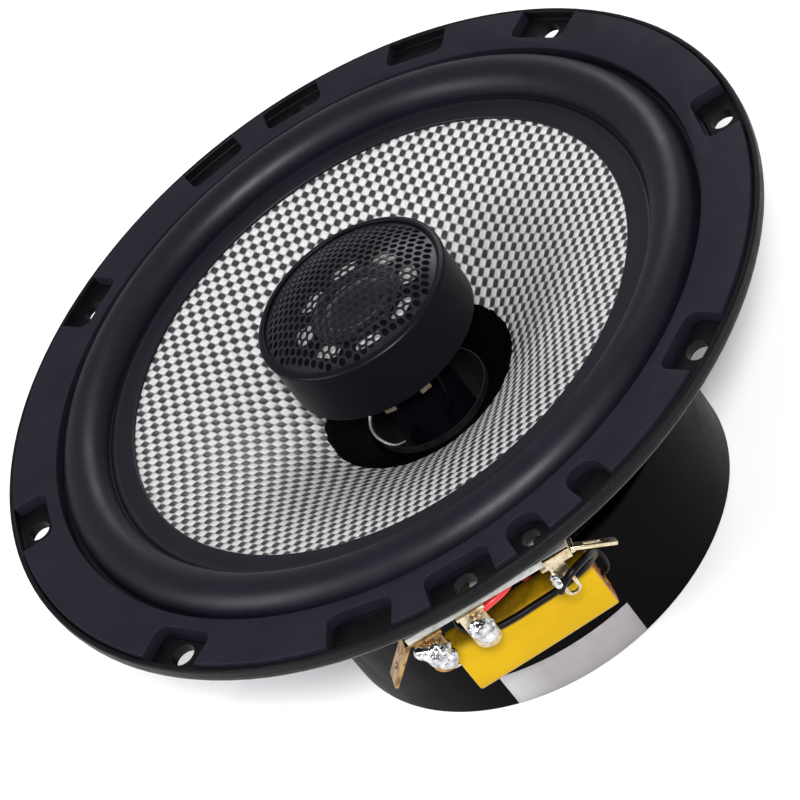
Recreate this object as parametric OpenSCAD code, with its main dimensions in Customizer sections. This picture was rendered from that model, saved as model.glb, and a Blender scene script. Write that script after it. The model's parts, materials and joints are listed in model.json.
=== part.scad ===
// Coaxial car loudspeaker, 165 mm (6.5 inch) class.
// +Z is the listening side and the origin is the centre of the flange's rear (mounting) face.
// The terminal board is on the -Y side. All sizes are in millimetres.

/* [Flange] */
// Outer diameter of the mounting flange
flange_d = 166.8; // [165.8:0.2:168]
// Thickness of the flange metal
flange_t = 2; // [1.8:0.1:2.4]
// Diameter of the circle that the mounting holes lie on
hole_pcd = 157; // [156:0.5:158]
// Diameter of a mounting hole
hole_d = 4.8; // [4:0.1:5.2]
// Number of mounting holes
hole_count = 8; // [4, 8]

/* [Basket] */
// Inner radius of the basket's upper wall
basket_r = 68.5; // [68.3:0.1:68.8]
// Thickness of the pressed steel
sheet_t = 1.5; // [1.3:0.1:1.6]
// Inner radius at the foot of the tapered wall
foot_r = 45.2; // [45:0.1:46]
// Height of the ledge that the spider is glued to
ledge_z = -24; // [-24.4:0.1:-23.8]
// Width of a window between two arms
window_w = 26; // [20:1:28]

/* [Gasket and surround] */
// Outer diameter of the gasket
gasket_d = 163.8; // [162:0.2:165]
// Inner diameter of the gasket
gasket_hole_d = 143.4; // [142:0.2:144]
// Thickness of the gasket
gasket_t = 2.8; // [1.5:0.1:3]
// Width of a gasket notch round a mounting hole
notch_w = 13.4; // [10:0.2:15]
// Mid radius of the surround's roll
roll_r = 65.4; // [65.2:0.1:65.6]
// Outer radius of the roll's own section
roll_h = 4.85; // [4.5:0.05:5]

/* [Cone] */
// Radius of the woven cone's visible rim
cone_r = 55; // [54.8:0.1:55.2]
// Radius where the woven cone meets its neck
neck_r = 20.9; // [20:0.1:22]
// Height of the cone's rim
cone_z = 1.5; // [1.4:0.1:1.6]
// Slope of the cone at its rim
rim_slope = 0.28; // [0.24:0.01:0.32]
// Slope of the cone at its neck
neck_slope = 0.713; // [0.7:0.001:0.72]
// Thickness of the cone
cone_t = 0.6; // [0.4:0.1:0.8]

/* [Motor] */
// Outer radius of the ferrite magnet
magnet_r = 42; // [40:0.5:42]
// Thickness of the ferrite magnet
magnet_t = 16; // [14:0.5:16]
// Thickness of the top plate
plate_t = 5; // [4:0.5:5]
// Thickness of the yoke's back plate
yoke_t = 6; // [5.5:0.5:6]
// Radius of the pole piece
pole_r = 12.2; // [12:0.05:12.25]
// Outer radius of the magnet cover
cover_r = 45; // [45:0.1:46]
// Outer radius of the voice coil's former
former_r = 12.85; // [12.8:0.01:12.9]

/* [Tweeter] */
// Outer radius of the tweeter's cup
cup_r = 20.4; // [20.2:0.1:20.6]
// Height of the cup's underside
cup_z = -1.5; // [-2:0.1:-1.5]
// Height of the top of the bezel
bezel_z = 12; // [11.8:0.1:12.4]
// How far the grille rises above its edge
grille_rise = 5.6; // [5:0.1:6.5]

/* [Terminals] */
// Height of the terminal board's top face
board_z = -9.1; // [-9.4:0.1:-9]
// Distance of the board's outer edge from the centre
board_y = 71; // [70.6:0.1:71.4]
// Width of the wide (positive) spade tab
wide_tab = 4.75; // [4.75, 6.35]
// Width of the narrow (negative) spade tab
narrow_tab = 2.8; // [2.8, 4.75]

/* [Hidden] */
$fn = 96;

// Glue line left between a part that moves and a soft part that is glued to it
glue_line = 0.05;
// Overshoot that makes a cut pass cleanly through a face
cut = 1;

// Flange and basket
flange_r = flange_d / 2;
recess_z = 1;
rim_w = 1.2;
rim_z = 4.2;
recess_r = 75.2;
wall_r = basket_r + sheet_t;
flange_foot_r = wall_r + 1.5;
tub_r = foot_r - 4.7;
tub_wall_r = tub_r + sheet_t - 0.1;
tub_z = -36;
window_angles = [-45, 0, 45, 90, 135, 180, 225];
window_h = 12.5;
window_r = 40;
window_z = -15;
extra_hole_angle = -79.5;
shelf_x = 19;
shelf_y = 54;
shelf_foot_z = -17.6;
slot_x = 17;
slot_y = 64;

// Gasket
notch_inner_r = 74.5;
extra_notch_angles = [105, 68, -105];
round_notch_angles = [extra_hole_angle, -69];
round_notch_r = 3.6;

// Surround and spider
surround_t = 0.8;
surround_rim_z = cone_z + glue_line;
roll_z = 2.5;
surround_lip_r = 75;
land_r = 60.2;
spider_t = 0.5;
spider_r = 44.6;
spider_waves = 5;
spider_wave_h = 1.1;
spider_flat_in = 15.5;
spider_flat_out = 40.4;

// Motor
magnet_hole_r = 22;
top_plate_r = 40;
yoke_r = 40;
gap_r = 13.9;
plate_z = tub_z - plate_t;
magnet_z = plate_z - magnet_t;
yoke_z = magnet_z - yoke_t;
pole_z = tub_z + 0.5;
bolt_hole_r = 2.7;
bolt_r = 2.45;
bolt_head_r = 4.8;
counterbore_r = 5.3;
counterbore_depth = 4;
wire_hole_x = 2.4;
wire_hole_y = 8.8;
wire_hole_r = 1.15;
wire_groove_w = 7;
wire_groove_d = 2.1;
rivet_ring_r = 33;
rivet_r = 1.95;
cover_t = 1.1;
cover_floor_t = 1;
cover_z = yoke_z - cover_floor_t;
cover_top_z = -35.6;
cover_lip_r = 42.3;
cover_vent_r = 7;
label_angle = 38;
label_foot = 0.4;
label_h = 8.8;
label_t = 0.12;

// Voice coil
former_in_r = former_r - 0.2;
former_top_z = -19.4;
former_foot_z = -44.5;
coil_r = 13.5;
coil_top_z = -33;
coil_foot_z = -44;
collar_foot_z = -21;

// Tweeter
post_r = 7.5;
post_head_r = 10;
post_spigot_r = 3;
cup_wall = 1.3;
cup_floor = 1.6;
cup_top_z = bezel_z - 1.6;
bezel_r = cup_r + 0.3;
bezel_in_r = 18.6;
grille_r = 18.9;
grille_t = 0.5;
grille_z = bezel_z - 0.5;
pot_z = cup_z + 3.4;
pot_r = 8.9;
pot_in_r = 7.6;
pot_rim_z = pot_z + 6.7;
pot_flange_r = 17.6;
neo_r = 5.8;
neo_t = 3;
dome_coil_r = 6.5;
dome_rise = 2.8;
dome_t = 0.25;
face_t = 1;
face_z = pot_rim_z;
face_slots = 8;
face_slot_r = 11.75;
tab_angles = [-102, -76.5];
tab_r = 18;

// Terminals
board_t = 1.5;
board_x = 17.3;
board_back_y = 57;
shelf_t = 1.4;
brass_t = 0.7;
brass_z = board_z - board_t - brass_t;
lug_x = [-13.5, -4.4, 13.7];
lug_foot_z = -20.5;
lug_w = 5;
narrow_lug_foot_z = -19.8;
narrow_lug_w = 3.2;
rivet_y = 66.5;
tab_len = 10.4;
tab_drop = 47;
narrow_tab_len = 8.9;
narrow_tab_drop = 30.5;
narrow_tab_twist = -22;
edge_clip_w = 5.4;

// Capacitor
cap_len = 31;
cap_h = 13;
cap_depth = 8;
cap_centre = [0.65, -55.3, -34.2];
cap_turn = 3.2;
cap_corner = 2.2;

// Routes of the wires, as points in millimetres
red_route = [
    [-4, -70.2, -13.4], [-1.6, -70, -12.7], [1, -69.4, -12.6], [3.4, -68, -12.8], [4.7, -64.5, -14],
    [4, -58, -17.5], [3, -52.4, -21.6], [2.4, -49.4, -25], [2.4, -48.7, -28.5], [2.4, -46.6, -32],
    [2.4, -43.4, -35.4], [2.4, -42.9, -40], [2.4, -42.9, -50], [2.4, -42.9, -58], [2.4, -42.4, -61],
    [2.4, -40, -62], [2.4, -30, -62], [2.4, -18, -62], [2.4, -10.6, -61.8], [2.4, -8.9, -60],
    [2.4, -8.8, -56], [2.4, -8.8, -44], [2.4, -8.8, -36.6]
];
black_route = [
    [11.6, -72.7, -16.4], [13.4, -72.9, -14.6], [16, -72.2, -13.8], [18.6, -69.8, -14.8],
    [19.6, -66.4, -17.6], [19, -62.8, -21.4], [16.6, -60.4, -24.8], [13.2, -60, -26.2],
    [8.6, -60.3, -26.9], [4, -60.5, -27], [-1, -60.8, -27], [-6, -60.6, -26.6], [-10, -58.4, -25.6],
    [-10.8, -54.6, -24.6], [-8.6, -51, -24.8], [-5.4, -49.6, -25.8], [-3, -48.9, -27.4],
    [-2.4, -48.5, -29.2], [-2.4, -46.6, -32], [-2.4, -43.4, -35.4], [-2.4, -42.9, -40],
    [-2.4, -42.9, -50], [-2.4, -42.9, -58], [-2.4, -42.4, -61], [-2.4, -40, -62], [-2.4, -30, -62],
    [-2.4, -18, -62], [-2.4, -10.6, -61.8], [-2.4, -8.9, -60], [-2.4, -8.8, -56],
    [-2.4, -8.8, -44], [-2.4, -8.8, -36.6]
];
lead_positive_route = [
    [4.2, -17.5, -2.7], [5.6, -16.4, -2.5], [6.6, -15.4, -3.4], [6.8, -15, -6], [6.2, -14.8, -9.5],
    [5.2, -14.4, -12.4], [4.3, -12.2, -14.4], [3.4, -10.8, -17], [2.9, -10.2, -22],
    [2.6, -9.6, -28], [2.4, -9, -33], [2.4, -8.8, -36.4]
];
lead_negative_route = [
    [-3.7, -17.5, -2.7], [-5.8, -16.7, -2.4], [-7.5, -16, -2.7], [-8.4, -16.3, -3.9],
    [-9.3, -16.4, -5.9], [-9.4, -16.8, -8.2], [-8.4, -17.4, -10.4], [-7.1, -17.5, -11.7],
    [-5.5, -16.8, -12.6], [-4.4, -14.6, -13.4], [-3.7, -11.8, -14.6], [-3.2, -10.4, -17],
    [-3, -10, -22], [-2.7, -9.6, -28], [-2.4, -9, -33], [-2.4, -8.8, -36.4]
];
cap_left_route = [
    [-15.2, -56.2, -34.2], [-17, -56.4, -33.8], [-18.3, -57.4, -31.4], [-18, -60, -27],
    [-16.8, -64.4, -22.6], [-15.2, -68, -19.4], [-14.2, -70.4, -17.4]
];
cap_right_route = [
    [16.5, -54.4, -34.2], [18, -54.4, -33.4], [18.5, -54.8, -29.5], [16.6, -54.9, -25.6],
    [12, -55.4, -22.6], [6, -57.8, -20.2], [0.6, -61.2, -17.6], [-2.6, -65.8, -15], [-4.2, -70, -15]
];
tinsel_positive_route = [
    [-11.5, -63, -11.8], [-10.6, -58, -12.2], [-10, -54, -12.4], [-9.6, -49, -14.4], [-9.2, -44, -16.6],
    [-8.8, -39, -16.2], [-8.4, -34.6, -13.6], [-8.2, -32.6, -11.7]
];
tinsel_negative_route = [
    [11.5, -63, -11.8], [10.6, -58, -12.2], [10, -54, -12.4], [9.6, -49, -14.4], [9.2, -44, -16.6],
    [8.8, -39, -16.2], [8.4, -34.6, -13.6], [8.2, -32.6, -11.7]
];
tinsel_end_r = 33.6;
hookup_wire_r = 0.75;
fine_wire_r = 0.4;
tinsel_r = 0.5;

// ---------- helpers ----------

// Height of the cone's front face at radius r
function cone_height(r) =
    let (u = cone_r - r)
    cone_z - rim_slope * u - (neck_slope - rim_slope) * u * u / (2 * (cone_r - neck_r));

// Points of an arc about a centre, from angle a0 to a1
function arc(centre, radius, a0, a1, steps = 12) =
    [for (i = [0:steps]) let (a = a0 + (a1 - a0) * i / steps) centre + radius * [cos(a), sin(a)]];

// An angle brought into the range -180 to 180
function wrap(a) = (((a + 180) % 360) + 360) % 360 - 180;

// The arc that rounds the corner b between a and c
function corner(a, b, c, radius, steps = 4) =
    let (
        u = (a - b) / norm(a - b),
        v = (c - b) / norm(c - b),
        half = acos(u * v) / 2,
        centre = b + (u + v) / norm(u + v) * radius / sin(half),
        p = b + u * radius / tan(half) - centre,
        q = b + v * radius / tan(half) - centre,
        start = atan2(p.y, p.x),
        turn = wrap(atan2(q.y, q.x) - start)
    )
    arc(centre, radius, start, start + turn, steps);

// An outline whose points are [x, y, corner radius]
function rounded(points) =
    let (n = len(points), flat = [for (p = points) [p.x, p.y]])
    [for (i = [0:n - 1])
        each points[i].z > 0
            ? corner(flat[(i + n - 1) % n], flat[i], flat[(i + 1) % n], points[i].z)
            : [flat[i]]];

// One point of a smooth curve through the route
function spline(a, b, c, d, t) =
    0.5 * (2 * b + (c - a) * t + (2 * a - 5 * b + 4 * c - d) * t * t
        + (3 * b - a - 3 * c + d) * t * t * t);

function smooth(route, steps) =
    let (n = len(route))
    [for (i = [0:n - 2], k = [0:steps - 1])
        spline(route[max(i - 1, 0)], route[i], route[i + 1], route[min(i + 2, n - 1)], k / steps),
        route[n - 1]];

function unit(v) = v / norm(v);

// A round wire swept along a smooth route
module wire(route, radius, steps = 3, sides = 8) {
    path = smooth(route, steps);
    n = len(path);
    tangent = [for (i = [0:n - 1]) unit(path[min(i + 1, n - 1)] - path[max(i - 1, 0)])];
    side = [for (t = tangent) unit(cross(t, [1, 0.13, 0.07]))];
    rings = [for (i = [0:n - 1], k = [0:sides - 1])
        let (a = 360 * k / sides)
        path[i] + radius * (cos(a) * side[i] + sin(a) * cross(tangent[i], side[i]))];
    walls = [for (i = [0:n - 2], k = [0:sides - 1])
        [i * sides + k, (i + 1) * sides + k, (i + 1) * sides + (k + 1) % sides,
            i * sides + (k + 1) % sides]];
    first = [for (k = [0:sides - 1]) k];
    last = [for (k = [0:sides - 1]) n * sides - 1 - k];
    polyhedron(rings, concat([first], walls, [last]), convexity = 6);
}

// A ring between two radii, standing on z
module ring(outer, inner, z, height) {
    translate([0, 0, z])
        difference() {
            cylinder(r = outer, h = height);
            translate([0, 0, -cut]) cylinder(r = inner, h = height + 2 * cut);
        }
}

// A flat rectangle with round corners
module rounded_square(width, height, radius) {
    square([width - 2 * radius, height], center = true);
    square([width, height - 2 * radius], center = true);
    for (x = [-1, 1], y = [-1, 1])
        translate([x * (width / 2 - radius), y * (height / 2 - radius)]) circle(r = radius);
}

// Copies of the children at each angle
module at_angles(angles) {
    for (a = angles) rotate([0, 0, a]) children();
}

hole_angles = [for (i = [0:hole_count - 1]) i * 360 / hole_count];

// ---------- chassis ----------

module mounting_flange() {
    color([0.06, 0.06, 0.065])
    difference() {
        rotate_extrude()
            polygon(rounded([
                [flange_r, 0, 2.4], [flange_r, rim_z, 0.5], [flange_r - rim_w, rim_z, 0.4],
                [flange_r - rim_w, flange_t, 0.2], [recess_r, flange_t, 0.3],
                [recess_r, recess_z, 0], [flange_foot_r, recess_z, 0], [flange_foot_r, 0, 0]
            ]));
        at_angles(hole_angles)
            translate([hole_pcd / 2, 0, -cut]) cylinder(d = hole_d, h = flange_t + 2 * cut);
        rotate([0, 0, extra_hole_angle])
            translate([78, 0, -cut]) cylinder(r = 1.9, h = flange_t + 2 * cut);
    }
}

module basket_shell() {
    rotate_extrude()
        polygon(rounded([
            [flange_foot_r, 0, 0], [flange_foot_r, recess_z, 0], [basket_r, recess_z, 0.5],
            [basket_r, -5.2, 3],
            [foot_r, ledge_z + 1.2, 0.8], [foot_r, ledge_z, 0], [tub_r, ledge_z, 1],
            [tub_r, tub_z + sheet_t, 1], [15.5, tub_z + sheet_t, 0], [15.5, tub_z, 0],
            [tub_wall_r, tub_z, 1.2], [tub_wall_r, ledge_z - sheet_t, 1.2],
            [foot_r + 1.4, ledge_z - sheet_t, 1.4], [wall_r, -6, 4], [wall_r, 0, 1.2]
        ]));
}

// The pocket under the flange that the terminal board hangs in
module pocket_floor() {
    difference() {
        intersection() {
            cylinder(r = wall_r - 0.5, h = 100, center = true);
            union() {
                translate([-shelf_x, -wall_r - cut, board_z])
                    cube([2 * shelf_x, wall_r + cut - shelf_y, shelf_t]);
                translate([-shelf_x, -shelf_y - sheet_t, shelf_foot_z])
                    cube([2 * shelf_x, sheet_t, board_z + shelf_t - shelf_foot_z]);
            }
        }
        for (x = [-1, 1]) {
            translate([x * 9.2, -60, board_z - cut]) cylinder(r = 1.3, h = shelf_t + 2 * cut);
            translate([x * 10, -shelf_y, -12.4])
                rotate([90, 0, 0])
                    linear_extrude(3 * sheet_t, center = true) rounded_square(5, 3.6, 1.2);
        }
    }
}

module basket() {
    color([0.06, 0.06, 0.065])
    difference() {
        union() {
            difference() {
                basket_shell();
                translate([-shelf_x, -90, ledge_z + 2.6])
                    cube([2 * shelf_x, 90 - shelf_y, board_z - ledge_z - 2.6]);
                at_angles(window_angles)
                    translate([window_r, 0, window_z])
                        rotate([90, 0, 90])
                            linear_extrude(40) rounded_square(window_w, window_h, 4);
            }
            pocket_floor();
        }
        translate([-slot_x, -90, board_z - cut])
            cube([2 * slot_x, 90 - slot_y, cut - board_z - sheet_t]);
        at_angles([45, 135, 225, 315])
            translate([rivet_ring_r, 0, tub_z - cut]) cylinder(r = 2, h = sheet_t + 2 * cut);
    }
}

module gasket_notch() {
    corner_r = 2;
    translate([notch_inner_r + corner_r, 0]) {
        translate([0, -notch_w / 2]) square([20, notch_w]);
        translate([-corner_r, -notch_w / 2 + corner_r])
            square([corner_r + cut, notch_w - 2 * corner_r]);
        for (y = [-1, 1]) translate([0, y * (notch_w / 2 - corner_r)]) circle(r = corner_r);
    }
}

module gasket() {
    color([0.17, 0.17, 0.2])
    translate([0, 0, flange_t])
        linear_extrude(gasket_t)
            difference() {
                circle(d = gasket_d);
                circle(d = gasket_hole_d);
                at_angles(concat(hole_angles, extra_notch_angles)) gasket_notch();
                at_angles(round_notch_angles)
                    translate([notch_inner_r + 3.4, 0]) {
                        circle(r = round_notch_r);
                        translate([0, -round_notch_r]) square([20, 2 * round_notch_r]);
                    }
            }
}

module surround() {
    centre = [roll_r, roll_z];
    color([0.15, 0.15, 0.18])
    rotate_extrude()
        polygon(concat(
            [[cone_r, surround_rim_z], [cone_r, surround_rim_z + 0.6]],
            [[cone_r + 0.2, surround_rim_z + surround_t]],
            [[roll_r - roll_h - 0.3, surround_rim_z + surround_t]],
            arc(centre, roll_h, 180, 0, 16),
            [[roll_r + roll_h + 0.2, recess_z + surround_t], [surround_lip_r, recess_z + surround_t]],
            [[surround_lip_r, recess_z], [roll_r + roll_h - surround_t + 0.2, recess_z]],
            arc(centre, roll_h - surround_t, 0, 180, 16),
            [[roll_r - roll_h + surround_t - 0.2, surround_rim_z]]
        ));
}

module spider() {
    n = 6 * spider_waves;
    span = spider_flat_out - spider_flat_in;
    wave = [for (i = [0:n])
        [spider_flat_in + span * i / n, ledge_z + spider_wave_h * sin(360 * spider_waves * i / n)]];
    lower = concat([[former_r + glue_line, ledge_z]], wave, [[spider_r, ledge_z]]);
    upper = [for (i = [len(lower) - 1:-1:0]) lower[i] + [0, spider_t]];
    color([0.76, 0.66, 0.38])
    rotate_extrude() polygon(concat(lower, upper));
}

module top_plate() {
    color([0.72, 0.73, 0.7])
    difference() {
        ring(top_plate_r, gap_r, plate_z, plate_t);
        at_angles([45, 135, 225, 315])
            translate([rivet_ring_r, 0, plate_z - cut]) cylinder(r = 2, h = plate_t + 2 * cut);
    }
}

module ferrite_magnet() {
    color([0.2, 0.2, 0.2])
    rotate_extrude()
        polygon(rounded([
            [magnet_hole_r, magnet_z, 0], [magnet_r, magnet_z, 0.6],
            [magnet_r, plate_z, 0.6], [magnet_hole_r, plate_z, 0]
        ]));
}

module yoke() {
    color([0.7, 0.71, 0.68])
    difference() {
        union() {
            rotate_extrude()
                polygon(rounded([
                    [0, yoke_z, 0], [yoke_r, yoke_z, 0.8], [yoke_r, magnet_z, 0], [0, magnet_z, 0]
                ]));
            cylinder_between(pole_r, magnet_z - cut, pole_z);
        }
        translate([0, 0, yoke_z - cut]) cylinder(r = bolt_hole_r, h = pole_z - yoke_z + 2 * cut);
        translate([0, 0, yoke_z - cut]) cylinder(r = counterbore_r, h = counterbore_depth + cut);
        for (x = [-1, 1])
            translate([x * wire_hole_x, -wire_hole_y, yoke_z - cut])
                cylinder(r = wire_hole_r, h = pole_z - yoke_z + 2 * cut);
        translate([-wire_groove_w / 2, -yoke_r - cut, yoke_z - cut])
            cube([wire_groove_w, yoke_r + cut - wire_hole_y + wire_hole_r, wire_groove_d + cut]);
    }
}

module cylinder_between(radius, low, high) {
    translate([0, 0, low]) cylinder(r = radius, h = high - low);
}

module magnet_cover() {
    inner_r = cover_r - cover_t;
    color([0.05, 0.05, 0.055])
    difference() {
        rotate_extrude()
            polygon(rounded([
                [cover_vent_r, cover_z, 0.3], [cover_r, cover_z, 0.4], [cover_r, cover_top_z, 0.8],
                [cover_lip_r, cover_top_z, 0.3], [cover_lip_r, cover_top_z - 1, 0],
                [inner_r, cover_top_z - 1, 0], [inner_r, cover_z + cover_floor_t, 0.6],
                [cover_vent_r, cover_z + cover_floor_t, 0]
            ]));
        translate([-5, -cover_r - cut, cover_top_z - 1.4]) cube([10, 4.2 + cut, 3]);
    }
}

module rating_label() {
    color([0.75, 0.75, 0.77])
    rotate([0, 0, -90 - label_angle / 2])
        rotate_extrude(angle = label_angle)
            translate([cover_r + 0.02, cover_z + label_foot]) square([label_t, label_h]);
}

module basket_rivets() {
    color([0.6, 0.6, 0.6])
    at_angles([45, 135, 225, 315])
        translate([rivet_ring_r, 0, 0])
            rotate_extrude()
                polygon([
                    [0, plate_z + 0.3], [rivet_r, plate_z + 0.3], [rivet_r, tub_z + sheet_t],
                    [3, tub_z + sheet_t], [3, tub_z + sheet_t + 0.6], [2.2, tub_z + sheet_t + 1.2],
                    [0, tub_z + sheet_t + 1.4]
                ]);
}

// ---------- moving cone ----------

module cone() {
    n = 14;
    radii = [for (i = [0:n]) neck_r + (cone_r - neck_r) * i / n];
    front = [for (r = radii) [r, cone_height(r)]];
    back = [for (i = [n:-1:0]) front[i] - [0, cone_t + 0.1]];
    color([0.82, 0.82, 0.82])
    rotate_extrude()
        polygon(concat(front, [[land_r, cone_z], [land_r, cone_z - cone_t]], back));
}

module neck_collar() {
    top = cone_height(neck_r);
    under = cone_t + 0.1;
    color([0.03, 0.03, 0.035])
    rotate_extrude()
        polygon([
            [former_r, collar_foot_z], [former_r + 0.9, collar_foot_z + 0.4], [neck_r - 0.02, top],
            [neck_r - 0.02, top - under - 0.02], [neck_r + 2, cone_height(neck_r + 2) - under - 0.03],
            [neck_r + 2, cone_height(neck_r + 2) - under - 0.6], [neck_r, top - under - 0.9],
            [former_r + 0.9, collar_foot_z - 0.9], [former_r, collar_foot_z - 1]
        ]);
}

module coil_former() {
    color([0.55, 0.32, 0.12])
    ring(former_r, former_in_r, former_foot_z, former_top_z - former_foot_z);
}

module voice_coil() {
    color([0.72, 0.4, 0.2])
    rotate_extrude()
        polygon(rounded([
            [former_r, coil_foot_z, 0], [coil_r, coil_foot_z, 0.2],
            [coil_r, coil_top_z, 0.2], [former_r, coil_top_z, 0]
        ]));
}

module cone_solder_eyelets() {
    color([0.75, 0.75, 0.75])
    for (x = [-8.2, 8.2])
        translate([x, -32.6, cone_height(tinsel_end_r) - 2.5]) cylinder(r = 1.4, h = 0.9);
}

// ---------- tweeter ----------

module tweeter_post() {
    color([0.05, 0.05, 0.05])
    difference() {
        rotate_extrude()
            polygon(rounded([
                [0, pole_z, 0], [post_r, pole_z, 0.4], [post_r, -12, 6], [post_head_r, cup_z - 1.6, 0.3],
                [post_head_r, cup_z, 0], [post_spigot_r, cup_z, 0], [post_spigot_r, cup_z + 3.2, 0.3],
                [0, cup_z + 3.2, 0]
            ]));
        translate([0, 0, pole_z - cut]) cylinder(r = bolt_r + 0.02, h = 13 + cut);
    }
}

module post_bolt() {
    color([0.6, 0.6, 0.58])
    difference() {
        union() {
            cylinder_between(bolt_head_r, yoke_z + 0.3, yoke_z + counterbore_depth);
            cylinder_between(bolt_r, yoke_z + counterbore_depth - 0.5, pole_z + 12);
        }
        translate([0, 0, yoke_z]) cylinder(r = 2.3, h = 2.8, $fn = 6);
    }
}

module post_nut() {
    color([0.65, 0.65, 0.62])
    translate([0, 0, cup_z + cup_floor])
        difference() {
            cylinder(r = 4.6, h = 1.5, $fn = 6);
            translate([0, 0, -cut]) cylinder(r = post_spigot_r + 0.02, h = 1.5 + 2 * cut);
        }
}

module tweeter_cup() {
    inner_r = cup_r - cup_wall;
    color([0.06, 0.06, 0.065])
    difference() {
        rotate_extrude()
            polygon(rounded([
                [post_spigot_r + 0.05, cup_z, 0], [cup_r, cup_z, 0.7], [cup_r, cup_top_z, 0],
                [inner_r, cup_top_z, 0], [inner_r, cup_z + cup_floor, 0.5],
                [post_spigot_r + 0.05, cup_z + cup_floor, 0]
            ]));
        for (a = tab_angles)
            rotate([0, 0, a])
                translate([tab_r - 0.6, -1.3, cup_z - cut]) cube([1.2, 2.6, cup_floor + 2 * cut]);
    }
}

module tweeter_bezel() {
    color([0.09, 0.09, 0.1])
    rotate_extrude()
        polygon(rounded([
            [bezel_in_r, cup_top_z, 0], [bezel_r, cup_top_z, 0.3], [bezel_r, bezel_z - 0.4, 0.6],
            [cup_r - 0.6, bezel_z, 0.4], [grille_r + 0.3, bezel_z, 0.2],
            [grille_r + 0.3, grille_z - 0.55, 0], [bezel_in_r, grille_z - 0.55, 0]
        ]));
}

// Cap of a sphere as a shell, with its edge at radius r and height z
module dome_shell(r, rise, z, thickness) {
    big = (r * r + rise * rise) / (2 * rise);
    centre = [0, z + rise - big];
    edge = asin(r / big);
    inner_edge = asin((r - thickness * 0.6) / (big - thickness));
    rotate_extrude()
        polygon(concat(
            arc(centre, big, 90 - edge, 90, 14),
            arc(centre, big - thickness, 90, 90 - inner_edge, 14)
        ));
}

module tweeter_grille() {
    color([0.1, 0.1, 0.11])
    union() {
        dome_shell(grille_r, grille_rise, grille_z, grille_t);
        ring(grille_r + 0.2, grille_r - 1, grille_z - 0.5, 0.5);
    }
}

module tweeter_yoke() {
    color([0.8, 0.8, 0.8])
    rotate_extrude()
        polygon(rounded([
            [0, pot_z, 0], [pot_r, pot_z, 0.8], [pot_r, pot_rim_z - 1, 0.4],
            [pot_flange_r, pot_rim_z - 1, 0.3], [pot_flange_r, pot_rim_z, 0.3], [pot_in_r, pot_rim_z, 0],
            [pot_in_r, pot_z + 1.3, 0], [0, pot_z + 1.3, 0]
        ]));
}

module tweeter_magnet() {
    color([0.7, 0.7, 0.72])
    cylinder_between(neo_r, pot_z + 1.3, pot_z + 1.3 + neo_t);
}

module tweeter_top_plate() {
    color([0.75, 0.75, 0.75])
    cylinder_between(neo_r + 0.2, pot_z + 1.3 + neo_t, pot_z + 1.3 + neo_t + 1.6);
}

module tweeter_faceplate() {
    color([0.04, 0.04, 0.045])
    difference() {
        rotate_extrude()
            polygon(rounded([
                [pot_in_r + 0.4, face_z, 0], [cup_r - cup_wall - 0.1, face_z, 0],
                [cup_r - cup_wall - 0.1, face_z + face_t + 0.4, 0.3],
                [17.4, face_z + face_t + 0.4, 0.3], [16.8, face_z + face_t, 0.2],
                [pot_in_r + 0.4, face_z + face_t, 0]
            ]));
        for (i = [0:face_slots - 1])
            rotate([0, 0, i * 360 / face_slots])
                translate([face_slot_r, 0, face_z - cut])
                    linear_extrude(face_t + 2 * cut) rounded_square(3.6, 6, 1.4);
    }
}

module tweeter_surround() {
    centre = [7.9, face_z + face_t + 0.15];
    color([0.08, 0.08, 0.085])
    rotate_extrude()
        polygon(concat(
            [[dome_coil_r + 0.25, face_z + face_t + 0.05], [dome_coil_r + 0.25, face_z + face_t + 0.2]],
            arc(centre, 0.95, 180, 0, 8),
            [[9.8, face_z + face_t + 0.15], [9.8, face_z + face_t]],
            [[centre.x + 0.8, face_z + face_t]],
            arc(centre, 0.8, 0, 180, 8)
        ));
}

module tweeter_dome() {
    color([0.1, 0.1, 0.11])
    dome_shell(dome_coil_r + 0.15, dome_rise, face_z + face_t + 0.05, dome_t);
}

module tweeter_coil_former() {
    color([0.75, 0.75, 0.76])
    ring(dome_coil_r + 0.12, dome_coil_r, pot_z + 4, face_z + face_t - pot_z - 4.2);
}

module tweeter_coil() {
    color([0.72, 0.4, 0.2])
    ring(dome_coil_r + 0.55, dome_coil_r + 0.12, pot_z + 4.1, 2.2);
}

module tweeter_tabs() {
    color([0.8, 0.8, 0.8])
    for (a = tab_angles)
        rotate([0, 0, a])
            translate([tab_r - 0.3, -1.2, cup_z - 2.4]) cube([0.6, 2.4, cup_floor + 3.8]);
}

module tweeter_lead_positive() {
    color([0.2, 0.2, 0.22]) wire(lead_positive_route, fine_wire_r);
}

module tweeter_lead_negative() {
    color([0.45, 0.46, 0.5]) wire(lead_negative_route, fine_wire_r);
}

// ---------- terminals and crossover ----------

module terminal_board() {
    color([0.78, 0.78, 0.76])
    difference() {
        translate([-board_x, -board_y, board_z - board_t])
            cube([2 * board_x, board_y - board_back_y, board_t]);
        for (x = [-1, 1])
            translate([x * 9.2, -60, board_z - board_t - cut]) cylinder(r = 1.3, h = board_t + 2 * cut);
        for (x = lug_x)
            translate([x, -rivet_y, board_z - board_t - cut]) cylinder(r = 1.3, h = board_t + 2 * cut);
    }
}

// A rivet with two heads, from the lower face to the upper face
module rivet(low, high, shank_r, head_r) {
    rotate_extrude()
        polygon([
            [0, low - 0.6], [head_r - 0.5, low - 0.6], [head_r, low], [shank_r, low], [shank_r, high],
            [head_r, high], [head_r - 0.4, high + 0.5], [0, high + 0.5]
        ]);
}

module board_rivets() {
    color([0.7, 0.7, 0.7])
    for (x = [-1, 1])
        translate([x * 9.2, -60, 0]) rivet(board_z - board_t, board_z + shelf_t, 1.25, 2.2);
}

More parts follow.
